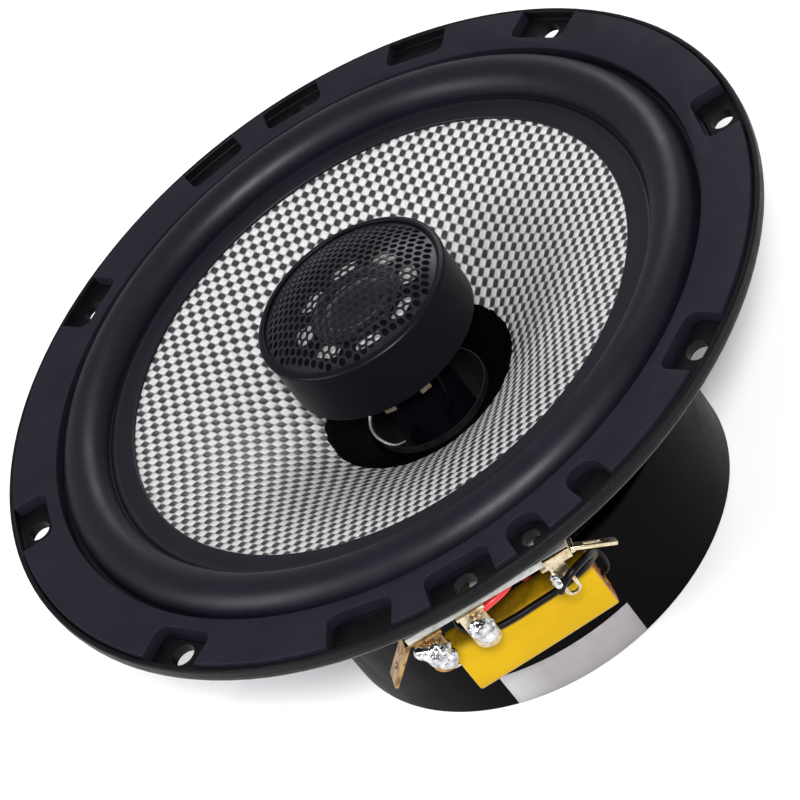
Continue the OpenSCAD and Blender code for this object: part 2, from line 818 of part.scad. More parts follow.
module terminal_rivets() {
    color([0.75, 0.68, 0.45])
    for (x = lug_x) translate([x, -rivet_y, 0]) rivet(brass_z, board_z, 1.25, 2.2);
}

// The foot plate under the board, and the lug that turns down over the board's edge.
// The children, such as a spade tab, are joined to it before the rivet hole is drilled.
module lug(x, width, slot_w, foot) {
    difference() {
        union() {
            translate([x - 2.9, -board_y - brass_t, brass_z])
                cube([5.8, board_y + brass_t - 63.4, brass_t]);
            translate([x - width / 2, -board_y - brass_t, foot + width / 2])
                cube([width, brass_t, brass_z + brass_t - foot - width / 2]);
            translate([x, -board_y, foot + width / 2])
                rotate([90, 0, 0]) cylinder(d = width, h = brass_t);
            children();
        }
        translate([x, -rivet_y, brass_z - cut]) cylinder(r = 1.3, h = brass_t + 2 * cut);
        translate([x, -board_y + cut, foot + width / 2 + 1.2])
            rotate([90, 0, 0])
                linear_extrude(brass_t + 2 * cut) rounded_square(slot_w, 4.6, slot_w / 2 - 0.01);
    }
}

// A spade tab that leaves the board's end, slopes down and is twisted about its own length;
// side is -1 or 1
module spade(side, width, length, drop, twist, y, slot) {
    translate([side * (board_x + 0.1), y, brass_z + brass_t])
        rotate([0, side * drop, 0])
            rotate([twist, 0, 0])
                difference() {
                    translate([side > 0 ? 0 : -length, -width / 2, -brass_t])
                        cube([length, width, brass_t]);
                    translate([side * (length - 3.6), 0, -brass_t - cut])
                        linear_extrude(brass_t + 2 * cut) {
                            circle(d = 1.3);
                            if (slot) translate([-2.6, -0.65]) square([3.4, 1.3]);
                        }
                }
}

module positive_terminal() {
    color([0.78, 0.62, 0.36])
    lug(lug_x[0], lug_w, 1.8, lug_foot_z) {
        translate([-board_x - 0.8, -board_y, brass_z]) cube([3.8, wide_tab + 1, brass_t]);
        spade(-1, wide_tab, tab_len, tab_drop, 0, -board_y + wide_tab / 2 + 0.3, false);
    }
}

module tie_terminal() {
    color([0.86, 0.76, 0.55]) lug(lug_x[1], lug_w, 1.8, lug_foot_z);
}

module negative_terminal() {
    color([0.84, 0.74, 0.52])
    lug(lug_x[2], narrow_lug_w, 1.8, narrow_lug_foot_z) {
        translate([board_x - 3, -board_y, brass_z]) cube([3.8, narrow_tab + 1, brass_t]);
        translate([board_x - edge_clip_w, -board_y - brass_t, brass_z])
            cube([edge_clip_w, brass_t, board_t + brass_t]);
        spade(1, narrow_tab, narrow_tab_len, narrow_tab_drop, narrow_tab_twist,
            -board_y + narrow_tab / 2 + 0.3, true);
    }
}

module solder_joints() {
    blobs = [[-13.6, -72.2, -14.6, 2.9], [-13.2, -72, -17.2, 2.6], [-15.8, -72.2, -12.8, 1.7],
        [-4.4, -72.2, -14.4, 2.7], [-4.2, -72, -16.6, 2.5], [12.4, -72.4, -14.4, 1.5]];
    color([0.82, 0.83, 0.85])
    difference() {
        union() for (b = blobs) translate([b[0], b[1], b[2]]) sphere(r = b[3]);
        for (x = lug_x)
            translate([x - lug_w / 2, -board_y - brass_t, -21]) cube([lug_w, brass_t, 12]);
        translate([-30, -board_y, board_z - board_t - brass_t]) cube([60, 14, 4]);
    }
}

module capacitor() {
    color([0.93, 0.76, 0.1])
    translate(cap_centre)
        rotate([0, 0, cap_turn])
            translate([-cap_len / 2, 0, 0])
                rotate([90, 0, 90])
                    difference() {
                        linear_extrude(cap_len) rounded_square(cap_depth, cap_h, cap_corner);
                        for (z = [-cut, cap_len - 0.8])
                            translate([0, 0, z])
                                linear_extrude(0.8 + cut)
                                    rounded_square(cap_depth - 0.6, cap_h - 0.6, cap_corner - 0.3);
                    }
}

module capacitor_end_seals() {
    color([0.62, 0.3, 0.1])
    translate(cap_centre)
        rotate([0, 0, cap_turn])
            for (side = [-1, 1])
                translate([side * (cap_len / 2 - 0.25) - 0.55, 0, 0])
                    rotate([90, 0, 90])
                        linear_extrude(1.1)
                            rounded_square(cap_depth - 0.64, cap_h - 0.64, cap_corner - 0.32);
}

module capacitor_lead_left() {
    color([0.8, 0.8, 0.8]) wire(cap_left_route, fine_wire_r);
}

module capacitor_lead_right() {
    color([0.8, 0.8, 0.8]) wire(cap_right_route, fine_wire_r);
}

module capacitor_glue() {
    color([0.12, 0.11, 0.1])
    difference() {
        translate([cap_centre.x, cap_centre.y, -30.8])
            rotate([0, 0, cap_turn])
                for (x = [-9, 9])
                    translate([x, cap_depth / 2, 0]) rotate([-90, 0, 0]) cylinder(r = 3.4, h = 10);
        cylinder(r = tub_wall_r + 0.02, h = 80, center = true);
        cylinder_between(cover_r + 0.02, -60, cover_top_z + 0.02);
        cylinder_between(foot_r + 3, ledge_z - sheet_t - 0.02, 0);
    }
}

module red_wire() {
    color([0.75, 0.05, 0.08]) wire(red_route, hookup_wire_r);
}

module black_wire() {
    color([0.05, 0.05, 0.05]) wire(black_route, hookup_wire_r);
}

module tinsel_lead_positive() {
    color([0.62, 0.5, 0.36]) wire(tinsel_positive_route, tinsel_r);
}

module tinsel_lead_negative() {
    color([0.62, 0.5, 0.36]) wire(tinsel_negative_route, tinsel_r);
}

mounting_flange();
basket();
gasket();
surround();
cone();
neck_collar();
coil_former();
voice_coil();
spider();
top_plate();
ferrite_magnet();
yoke();
magnet_cover();
rating_label();
basket_rivets();
tweeter_post();
post_bolt();
post_nut();
tweeter_cup();
tweeter_bezel();
tweeter_grille();
tweeter_yoke();
tweeter_magnet();
tweeter_top_plate();
tweeter_faceplate();
tweeter_surround();
tweeter_dome();
tweeter_coil_former();
tweeter_coil();
tweeter_tabs();
tweeter_lead_positive();
tweeter_lead_negative();
terminal_board();
board_rivets();
positive_terminal();
tie_terminal();
negative_terminal();
terminal_rivets();
solder_joints();
capacitor();
capacitor_end_seals();
capacitor_lead_left();
capacitor_lead_right();
capacitor_glue();
red_wire();
black_wire();
tinsel_lead_positive();
tinsel_lead_negative();
cone_solder_eyelets();
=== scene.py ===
"""Looks of a coaxial car loudspeaker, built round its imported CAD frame.

The frame's +Z is the listening side and its origin is the centre of the flange's rear face.
Helper functions take millimetres, and meshes are stored in metres.
"""

import bmesh
import bpy
import json
import math
from mathutils import Matrix, Vector, noise
from mathutils.geometry import delaunay_2d_cdt


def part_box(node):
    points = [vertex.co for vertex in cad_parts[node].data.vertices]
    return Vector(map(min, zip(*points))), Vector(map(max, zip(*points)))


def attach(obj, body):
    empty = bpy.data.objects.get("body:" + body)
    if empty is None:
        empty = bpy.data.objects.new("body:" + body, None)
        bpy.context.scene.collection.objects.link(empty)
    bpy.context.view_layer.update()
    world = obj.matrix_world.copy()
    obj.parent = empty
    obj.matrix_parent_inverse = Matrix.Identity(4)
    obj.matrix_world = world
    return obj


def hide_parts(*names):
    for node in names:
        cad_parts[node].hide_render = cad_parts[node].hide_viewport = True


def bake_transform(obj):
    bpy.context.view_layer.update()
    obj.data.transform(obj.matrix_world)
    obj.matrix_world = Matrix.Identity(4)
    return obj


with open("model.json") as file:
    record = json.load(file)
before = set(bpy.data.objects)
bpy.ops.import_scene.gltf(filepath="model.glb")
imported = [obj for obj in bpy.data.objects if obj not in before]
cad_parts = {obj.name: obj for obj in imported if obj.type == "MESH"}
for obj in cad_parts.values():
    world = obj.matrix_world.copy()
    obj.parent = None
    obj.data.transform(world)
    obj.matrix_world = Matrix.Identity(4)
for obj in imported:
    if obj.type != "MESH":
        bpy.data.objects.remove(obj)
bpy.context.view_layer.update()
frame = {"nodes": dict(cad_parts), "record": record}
MM = 0.001
BEVEL_OVER = 35.0  # degrees between two faces, from which their edge is rounded


# ---------- places taken from the CAD frame, in millimetres ----------


def low(node):
    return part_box(node)[0] / MM


def high(node):
    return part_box(node)[1] / MM


CONE_RIM_R = high("cone").x
NECK_R = high("neck_collar").x - 2
CONE_R = 55.0
CONE_RIM_Z = high("cone").z
FLOOR_Z = low("magnet_cover").z


# ---------- mesh helpers ----------


def make_object(name, mesh, body, material, replaces=()):
    """An object made of the mesh, riding on a body and standing for the CAD nodes it replaces."""
    obj = bpy.data.objects.new(name, mesh)
    bpy.context.scene.collection.objects.link(obj)
    mesh.materials.clear()
    mesh.materials.append(material)
    if body:
        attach(obj, body)
    if replaces:
        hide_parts(*replaces)
    return obj


def mesh_from(name, points, faces, sharp=40.0):
    """A smooth-shaded mesh from points in millimetres, with edges over the sharp angle kept sharp."""
    mesh = bpy.data.meshes.new(name)
    mesh.from_pydata([Vector(p) * MM for p in points], [], faces)
    return shaded(mesh, sharp)


def shaded(mesh, sharp=40.0):
    mesh.validate()
    bm = bmesh.new()
    bm.from_mesh(mesh)
    bmesh.ops.recalc_face_normals(bm, faces=bm.faces)
    bm.to_mesh(mesh)
    bm.free()
    mesh.shade_smooth()
    mesh.set_sharp_from_angle(angle=math.radians(sharp))
    return mesh


def arc(cx, cy, radius, start, end, steps):
    """Points of an arc, with its angles in degrees."""
    out = []
    for i in range(steps + 1):
        a = math.radians(start + (end - start) * i / steps)
        out.append((cx + radius * math.cos(a), cy + radius * math.sin(a)))
    return out


def rounded(points, steps=5):
    """An outline whose corners are rounded; each point is (x, y, corner radius)."""
    out = []
    n = len(points)
    for i, (x, y, radius) in enumerate(points):
        here = Vector((x, y))
        if radius <= 0:
            out.append((x, y))
            continue
        u = (Vector(points[i - 1][:2]) - here).normalized()
        v = (Vector(points[(i + 1) % n][:2]) - here).normalized()
        half = math.acos(max(-1.0, min(1.0, u.dot(v)))) / 2
        if math.sin(half) > 0.999:
            out.append((x, y))
            continue
        centre = here + (u + v).normalized() * radius / math.sin(half)
        p = here + u * radius / math.tan(half) - centre
        q = here + v * radius / math.tan(half) - centre
        start = math.degrees(math.atan2(p.y, p.x))
        turn = (math.degrees(math.atan2(q.y, q.x)) - start + 180) % 360 - 180
        out += arc(centre.x, centre.y, radius, start, start + turn, steps)
    return out


def lathe(name, outline, steps=192, shift=None, sharp=40.0):
    """A ring turned from a closed outline of (radius, z). shift(r, z, angle) gives a change of r and z."""
    points, faces = [], []
    n = len(outline)
    for k in range(steps):
        a = 2 * math.pi * k / steps
        for r, z in outline:
            dr, dz = shift(r, z, a) if shift else (0, 0)
            points.append(((r + dr) * math.cos(a), (r + dr) * math.sin(a), z + dz))
    for k in range(steps):
        m = (k + 1) % steps
        for i in range(n):
            j = (i + 1) % n
            faces.append((k * n + i, m * n + i, m * n + j, k * n + j))
    return mesh_from(name, points, faces, sharp)


def spline(points, per_span):
    """A smooth curve through the points."""
    pts = [Vector(p) for p in points]
    out = []
    for i in range(len(pts) - 1):
        a, b = pts[max(i - 1, 0)], pts[i]
        c, d = pts[i + 1], pts[min(i + 2, len(pts) - 1)]
        for k in range(per_span):
            t = k / per_span
            out.append(
                0.5 * (2 * b + (c - a) * t + (2 * a - 5 * b + 4 * c - d) * t * t
                       + (3 * b - a - 3 * c + d) * t ** 3)
            )
    return out + [pts[-1]]


def tube(name, route, radius, per_span=8, sides=16, swell=None):
    """A round wire along a route, with rounded ends. swell(s, angle) scales its radius at length s."""
    path = spline(route, per_span)
    n = len(path)
    tangents = [(path[min(i + 1, n - 1)] - path[max(i - 1, 0)]).normalized() for i in range(n)]
    side = tangents[0].orthogonal().normalized()
    rings = [(path[0] - tangents[0] * radius * 0.5, tangents[0], 0.6, 0.0)]
    length = 0.0
    for i in range(n):
        if i:
            length += (path[i] - path[i - 1]).length
        rings.append((path[i], tangents[i], 1.0, length))
    rings.append((path[-1] + tangents[-1] * radius * 0.5, tangents[-1], 0.6, length))
    points = []
    for centre, tangent, scale, s in rings:
        side = (side - tangent * side.dot(tangent)).normalized()
        other = tangent.cross(side)
        for k in range(sides):
            a = 2 * math.pi * k / sides
            grow = radius * scale * (swell(s, a) if swell else 1.0)
            points.append(centre + side * math.cos(a) * grow + other * math.sin(a) * grow)
    faces = []
    for i in range(len(rings) - 1):
        for k in range(sides):
            m = (k + 1) % sides
            faces.append((i * sides + k, i * sides + m, (i + 1) * sides + m, (i + 1) * sides + k))
    faces.append(tuple(reversed(range(sides))))
    faces.append(tuple(range((len(rings) - 1) * sides, len(rings) * sides)))
    return mesh_from(name, points, faces, 70.0)


def loft(name, sections, sharp=40.0):
    """A closed skin over sections with the same number of points, capped at both ends."""
    n = len(sections[0])
    points = [p for section in sections for p in section]
    faces = []
    for i in range(len(sections) - 1):
        for k in range(n):
            m = (k + 1) % n
            faces.append((i * n + k, i * n + m, (i + 1) * n + m, (i + 1) * n + k))
    faces.append(tuple(reversed(range(n))))
    faces.append(tuple(range((len(sections) - 1) * n, len(sections) * n)))
    return mesh_from(name, points, faces, sharp)


def with_modifiers(mesh, *modifiers):
    """The mesh with modifiers applied; each is (type, settings)."""
    obj = bpy.data.objects.new("work", mesh)
    bpy.context.scene.collection.objects.link(obj)
    for kind, settings in modifiers:
        m = obj.modifiers.new(kind.lower(), kind)
        for key, value in settings.items():
            setattr(m, key, value)
    bpy.context.view_layer.update()
    result = bpy.data.meshes.new_from_object(
        obj.evaluated_get(bpy.context.evaluated_depsgraph_get())
    )
    bpy.data.objects.remove(obj)
    return result


def eased(node, width, segments=3):
    """A copy of a CAD node's mesh with its sharp edges rounded."""
    mesh = frame["nodes"][node].data.copy()
    bm = bmesh.new()
    bm.from_mesh(mesh)
    bmesh.ops.remove_doubles(bm, verts=bm.verts, dist=0.002 * MM)
    bmesh.ops.dissolve_limit(
        bm, angle_limit=math.radians(1.0), verts=bm.verts, edges=bm.edges
    )
    bm.to_mesh(mesh)
    bm.free()
    bevel = {
        "width": width * MM, "segments": segments, "limit_method": "ANGLE",
        "angle_limit": math.radians(BEVEL_OVER), "use_clamp_overlap": True,
    }
    return shaded(with_modifiers(mesh, ("BEVEL", bevel)), 50.0)


def radial_blend(obj):
    """Bakes obj's placement into its mesh."""
    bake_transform(obj)


# ---------- materials ----------


class Paint:
    """A procedural material being built; every pattern is laid out in the frame's own space."""

    def __init__(self, name, **sockets):
        self.material = bpy.data.materials.new(name)
        self.material.use_nodes = True
        self.tree = self.material.node_tree
        self.tree.nodes.clear()
        out = self.add("ShaderNodeOutputMaterial")
        self.shader = self.add("ShaderNodeBsdfPrincipled")
        self.link(self.shader.outputs["BSDF"], out.inputs["Surface"])
        for key, value in sockets.items():
            self.shader.inputs[key.replace("_", " ")].default_value = value
        self.place = self.add("ShaderNodeTexCoord").outputs["Object"]

    def add(self, kind, **settings):
        node = self.tree.nodes.new(kind)
        for key, value in settings.items():
            setattr(node, key, value)
        return node

    def link(self, a, b):
        self.tree.links.new(a, b)

    def stretched(self, x, y, z):
        """The place with each axis scaled, so that a pattern comes out long or short along it."""
        node = self.add("ShaderNodeMapping")
        node.inputs["Scale"].default_value = (x, y, z)
        self.link(self.place, node.inputs["Vector"])
        return node.outputs["Vector"]

    def noise(self, size, detail=3.0, roughness=0.55, place=None, distortion=0.0):
        """Noise whose lumps are about size millimetres across."""
        node = self.add("ShaderNodeTexNoise")
        node.inputs["Scale"].default_value = 1 / (size * MM)
        node.inputs["Detail"].default_value = detail
        node.inputs["Roughness"].default_value = roughness
        node.inputs["Distortion"].default_value = distortion
        self.link(place or self.place, node.inputs["Vector"])
        return node.outputs["Fac"]

    def math(self, operation, a, b=None):
        node = self.add("ShaderNodeMath", operation=operation)
        for value, socket in ((a, node.inputs[0]), (b, node.inputs[1])):
            if value is None:
                continue
            if isinstance(value, (int, float)):
                socket.default_value = value
            else:
                self.link(value, socket)
        return node.outputs[0]

    def remap(self, value, from_low, from_high, to_low, to_high):
        node = self.add("ShaderNodeMapRange")
        for key, number in (
            ("From Min", from_low), ("From Max", from_high), ("To Min", to_low), ("To Max", to_high)
        ):
            node.inputs[key].default_value = number
        self.link(value, node.inputs["Value"])
        return node.outputs["Result"]

    def ramp(self, value, *stops):
        """Colours along a value; each stop is (position, (r, g, b))."""
        node = self.add("ShaderNodeValToRGB")
        elements = node.color_ramp.elements
        while len(elements) < len(stops):
            elements.new(0.5)
        for element, (position, colour) in zip(elements, stops):
            element.position = position
            element.color = (*colour, 1.0)
        self.link(value, node.inputs["Fac"])
        return node.outputs["Color"]

    def mix(self, factor, a, b):
        node = self.add("ShaderNodeMix", data_type="RGBA")
        self.link(factor, node.inputs[0])
        for value, socket in ((a, node.inputs[6]), (b, node.inputs[7])):
            if isinstance(value, tuple):
                socket.default_value = (*value, 1.0)
            else:
                self.link(value, socket)
        return node.outputs[2]

    def axes(self, place=None):
        node = self.add("ShaderNodeSeparateXYZ")
        self.link(place or self.place, node.inputs["Vector"])
        return node.outputs["X"], node.outputs["Y"], node.outputs["Z"]

    def colour(self, value):
        self.link(value, self.shader.inputs["Base Color"])

    def roughness(self, value, smooth, rough):
        self.link(self.remap(value, 0.3, 0.7, smooth, rough), self.shader.inputs["Roughness"])

    def bump(self, height, depth, strength=1.0):
        """Relief whose height of 0 to 1 stands for depth millimetres. Calls stack up."""
        node = self.add("ShaderNodeBump")
        node.inputs["Strength"].default_value = strength
        node.inputs["Distance"].default_value = depth * MM
        self.link(height, node.inputs["Height"])
        normal = self.shader.inputs["Normal"]
        if normal.is_linked:
            self.link(normal.links[0].from_socket, node.inputs["Normal"])
        self.link(node.outputs["Normal"], normal)


def scaled(colour, k):
    return tuple(v * k for v in colour)


def two_tone(paint, base, spread, size, stretch=None):
    """Base colour that drifts a little lighter and darker over the surface."""
    place = paint.stretched(*stretch) if stretch else None
    drift = paint.noise(size, 4.0, place=place)
    paint.colour(paint.ramp(drift, (0.3, scaled(base, 1 - spread)), (0.7, scaled(base, 1 + spread))))
    return drift


def powder_coat():
    p = Paint("powder_coat", Specular_IOR_Level=0.1)
    two_tone(p, (0.0034, 0.0034, 0.0042), 0.25, 6)
    grain = p.noise(0.42, 2.0)
    p.roughness(p.noise(3.0), 0.36, 0.5)
    p.bump(grain, 0.09, 0.8)
    p.bump(p.noise(1.6), 0.1, 0.35)
    return p.material


def gasket_foam():
    p = Paint("gasket_foam", Specular_IOR_Level=0.12)
    two_tone(p, (0.0098, 0.009, 0.0152), 0.14, 9)
    p.roughness(p.noise(5.0), 0.52, 0.66)
    p.bump(p.noise(0.3, 3.0), 0.05, 0.6)
    p.bump(p.noise(4.0), 0.1, 0.3)
    return p.material


def surround_rubber():
    p = Paint("surround_rubber", Specular_IOR_Level=0.22)
    two_tone(p, (0.005, 0.0046, 0.0088), 0.15, 12)
    p.roughness(p.noise(7.0), 0.38, 0.47)
    p.bump(p.noise(0.5, 2.0), 0.03, 0.5)
    dust = p.math("GREATER_THAN", p.noise(0.9, 1.0), 0.83)
    p.bump(dust, 0.03, 0.4)
    return p.material


def glass_weave(angle, pitch):
    """Two-coloured plain weave of flat yarns, laid flat in the frame's XY plane."""
    p = Paint("glass_weave", Specular_IOR_Level=0.4, Coat_Weight=0.08, Coat_Roughness=0.25)
    turn = p.add("ShaderNodeMapping", vector_type="POINT")
    turn.inputs["Rotation"].default_value = (0, 0, math.radians(angle))
    scale = math.pi / (pitch * MM)
    turn.inputs["Scale"].default_value = (scale, scale, scale)
    p.link(p.place, turn.inputs["Vector"])
    u, v, _ = p.axes(turn.outputs["Vector"])
    wobble = p.math("MULTIPLY", p.math("SUBTRACT", p.noise(6.0, 2.0), 0.5), 0.9)
    u = p.math("ADD", u, wobble)
    v = p.math("SUBTRACT", v, wobble)
    cell = p.math("MULTIPLY", p.math("SINE", u), p.math("SINE", v))
    fringe = p.math("MULTIPLY", p.math("SUBTRACT", p.noise(0.35, 2.0), 0.5), 0.22)
    dark = p.remap(p.math("ADD", cell, fringe), 0.03, 0.22, 0.0, 1.0)
    # Painted shade: the white yarns turn grey where they dip between crossings, standing for the shadow
    # between yarns.
    gap_shade_mask = p.remap(p.math("ABSOLUTE", cell), 0.0, 0.2, 0.0, 1.0)
    strands = p.noise(0.3, 2.0, place=p.stretched(1.0, 1.0, 0.4))
    white = p.ramp(strands, (0.3, (0.42, 0.42, 0.415)), (0.7, (0.6, 0.6, 0.595)))
    grey = p.ramp(strands, (0.3, (0.01, 0.01, 0.011)), (0.7, (0.036, 0.036, 0.038)))
    gap_shade = p.mix(gap_shade_mask, (0.22, 0.22, 0.22), white)
    p.colour(p.mix(dark, gap_shade, grey))
    p.roughness(strands, 0.3, 0.5)
    pillow = p.math("POWER", p.math("ABSOLUTE", cell), 0.5)
    p.bump(pillow, 0.12, 0.7)
    p.bump(strands, 0.03, 0.6)
    return p.material


def moulded(name, base, smooth, rough, specular, grain=0.25):
    """Satin moulded plastic with faint flow marks."""
    p = Paint(name, Specular_IOR_Level=specular)
    two_tone(p, base, 0.2, 8, (1, 1, 0.4))
    p.roughness(p.noise(5.0), smooth, rough)
    p.bump(p.noise(grain, 2.0), 0.02, 0.5)
    p.bump(p.noise(9.0), 0.1, 0.15)
    return p.material


def film(name, base, smooth, rough, turns=0.0):
    """Wound film or wire: fine rings along the axis."""
    p = Paint(name, Specular_IOR_Level=0.5)
    two_tone(p, base, 0.15, 3)
    p.roughness(p.noise(1.5), smooth, rough)
    if turns:
        z = p.axes()[2]
        p.bump(p.math("SINE", p.math("MULTIPLY", z, 2 * math.pi / (turns * MM))), 0.05, 0.6)
    return p.material


def metal(name, base, smooth, rough, brushed=None, tarnish=None, metallic=1.0):
    """Plated or plain metal; brushed is the stretch of its scratches, tarnish a second colour."""
    p = Paint(name, Metallic=metallic)
    drift = two_tone(p, base, 0.1, 5)
    if tarnish:
        spots = p.remap(p.noise(2.2, 5.0, 0.65, distortion=0.6), 0.42, 0.62, 0.0, 1.0)
        clean = p.ramp(drift, (0.3, scaled(base, 0.85)), (0.7, base))
        p.colour(p.mix(spots, clean, tarnish))
    p.roughness(p.noise(1.8, 4.0), smooth, rough)
    scratches = p.noise(0.25, 3.0, place=p.stretched(*(brushed or (1, 1, 1))))
    p.bump(scratches, 0.012, 0.6)
    return p.material


def cloth(name, base, pitch, smooth, rough, sheen=0.0):
    """Fine plain-woven cloth."""
    p = Paint(name, Specular_IOR_Level=0.3, Sheen_Weight=sheen, Sheen_Roughness=0.4)
    scale = math.pi / (pitch * MM)
    turn = p.add("ShaderNodeMapping", vector_type="POINT")
    turn.inputs["Scale"].default_value = (scale, scale, scale)
    p.link(p.place, turn.inputs["Vector"])
    u, v, _ = p.axes(turn.outputs["Vector"])
    cell = p.math("MULTIPLY", p.math("SINE", u), p.math("SINE", v))
    thread = p.remap(cell, -1.0, 1.0, 0.0, 1.0)
    blotch = p.noise(5.0, 4.0)
    shade = p.math("ADD", p.math("MULTIPLY", thread, 0.5), p.math("MULTIPLY", blotch, 0.5))
    p.colour(p.ramp(shade, (0.25, scaled(base, 0.62)), (0.75, scaled(base, 1.15))))
    p.roughness(blotch, smooth, rough)
    p.bump(p.math("ABSOLUTE", cell), 0.06, 0.7)
    return p.material


def ferrite():
    p = Paint("ferrite", Specular_IOR_Level=0.5)
    two_tone(p, (0.03, 0.03, 0.031), 0.3, 2)
    p.roughness(p.noise(1.5, 5.0), 0.45, 0.7)
    p.bump(p.noise(0.35, 4.0, place=p.stretched(0.15, 1, 1)), 0.04, 0.8)
    return p.material


def label_foil():
    p = Paint("label_foil", Metallic=0.55, Specular_IOR_Level=0.5)
    streaks = p.noise(1.6, 4.0, 0.5, place=p.stretched(1.0, 1.0, 0.25))
    clouds = p.noise(11.0, 2.0)
    silver = p.ramp(streaks, (0.25, (0.27, 0.262, 0.27)), (0.75, (0.33, 0.32, 0.33)))
    silver = p.mix(p.remap(clouds, 0.4, 0.7, 0.0, 0.5), silver, (0.3, 0.25, 0.272))
    # Painted highlight: towards -X the foil is mixed towards a lighter grey, standing for the light it
    # catches on that side.
    p.colour(p.mix(p.remap(p.axes()[0], -0.0145, -0.006, 0.8, 0.0), silver, (0.5, 0.5, 0.505)))
    p.roughness(streaks, 0.38, 0.55)
    p.bump(streaks, 0.02, 0.4)
    return p.material


def board_fibre():
    p = Paint("board_fibre", Specular_IOR_Level=0.35)
    fibres = p.noise(0.5, 5.0, 0.6, place=p.stretched(0.25, 1, 1))
    p.colour(p.ramp(fibres, (0.3, (0.36, 0.36, 0.34)), (0.7, (0.66, 0.66, 0.63))))
    p.roughness(fibres, 0.5, 0.75)
    p.bump(fibres, 0.04, 0.7)
    return p.material


def solder_tin():
    p = Paint("solder", Metallic=1.0)
    flux = p.remap(p.noise(1.6, 3.0), 0.6, 0.7, 0.0, 0.5)
    tin = p.ramp(p.noise(1.4), (0.35, (0.3, 0.305, 0.32)), (0.6, (0.74, 0.75, 0.76)))
    p.colour(p.mix(flux, tin, (0.42, 0.3, 0.16)))
    p.roughness(p.noise(1.2, 3.0), 0.08, 0.24)
    p.bump(p.noise(1.3, 3.0, 0.5, distortion=0.8), 0.28, 0.8)
    return p.material


def capacitor_wrap():
    """Yellow polyester tape with faint winding wrinkles, and painted shade that turns it dark brown towards
    its top.
    """
    p = Paint("capacitor_wrap", Specular_IOR_Level=0.1)
    drift = p.noise(6.0, 3.0, place=p.stretched(0.35, 1, 1))
    yellow = p.ramp(drift, (0.3, (0.43, 0.258, 0.0015)), (0.7, (0.49, 0.3, 0.002)))
    # Painted shade: from about z = -28.2 mm upwards the yellow is mixed towards dark brown, standing for the
    # shadow on the capacitor's top face.
    height = p.math("ADD", p.axes()[2], p.math("MULTIPLY", p.noise(5.0), 0.002))
    p.colour(p.mix(p.remap(height, -0.0282, -0.0266, 0.0, 0.85), yellow, (0.07, 0.035, 0.003)))
    p.roughness(p.noise(4.0), 0.32, 0.46)
    p.bump(p.noise(2.4, 3.0, place=p.stretched(0.3, 1, 1)), 0.12, 0.35)
    p.bump(p.noise(0.3, 2.0), 0.015, 0.4)
    return p.material


def epoxy():
    p = Paint("epoxy", Specular_IOR_Level=0.5, Coat_Weight=0.3, Coat_Roughness=0.15)
    two_tone(p, (0.34, 0.1, 0.02), 0.35, 2.5)
    p.roughness(p.noise(2.0), 0.25, 0.45)
    p.bump(p.noise(1.4, 4.0), 0.2, 0.5)
    return p.material


def glossy(name, base, smooth, rough, lumps=2.5, depth=0.06, specular=0.5):
    """Soft glossy plastic, such as a wire's sleeve or set glue."""
    p = Paint(name, Specular_IOR_Level=specular)
    two_tone(p, base, 0.2, 3)
    p.roughness(p.noise(2.0), smooth, rough)
    p.bump(p.noise(lumps, 3.0), depth, 0.5)
    return p.material


def braid():
    p = Paint("tinsel", Specular_IOR_Level=0.4, Metallic=0.35)
    x, y, z = p.axes()
    along = p.math("MULTIPLY", p.math("ADD", y, p.math("MULTIPLY", x, 1.3)), 2 * math.pi / (0.6 * MM))
    twist = p.math("MULTIPLY", p.math("SUBTRACT", y, p.math("MULTIPLY", z, 1.3)), 2 * math.pi / (0.6 * MM))
    weave = p.math("MULTIPLY", p.math("SINE", along), p.math("SINE", twist))
    shade = p.remap(weave, -1.0, 1.0, 0.0, 1.0)
    p.colour(p.ramp(shade, (0.2, (0.24, 0.15, 0.08)), (0.8, (0.62, 0.45, 0.28))))
    p.roughness(p.noise(1.0), 0.35, 0.6)
    p.bump(shade, 0.06, 0.8)
    return p.material


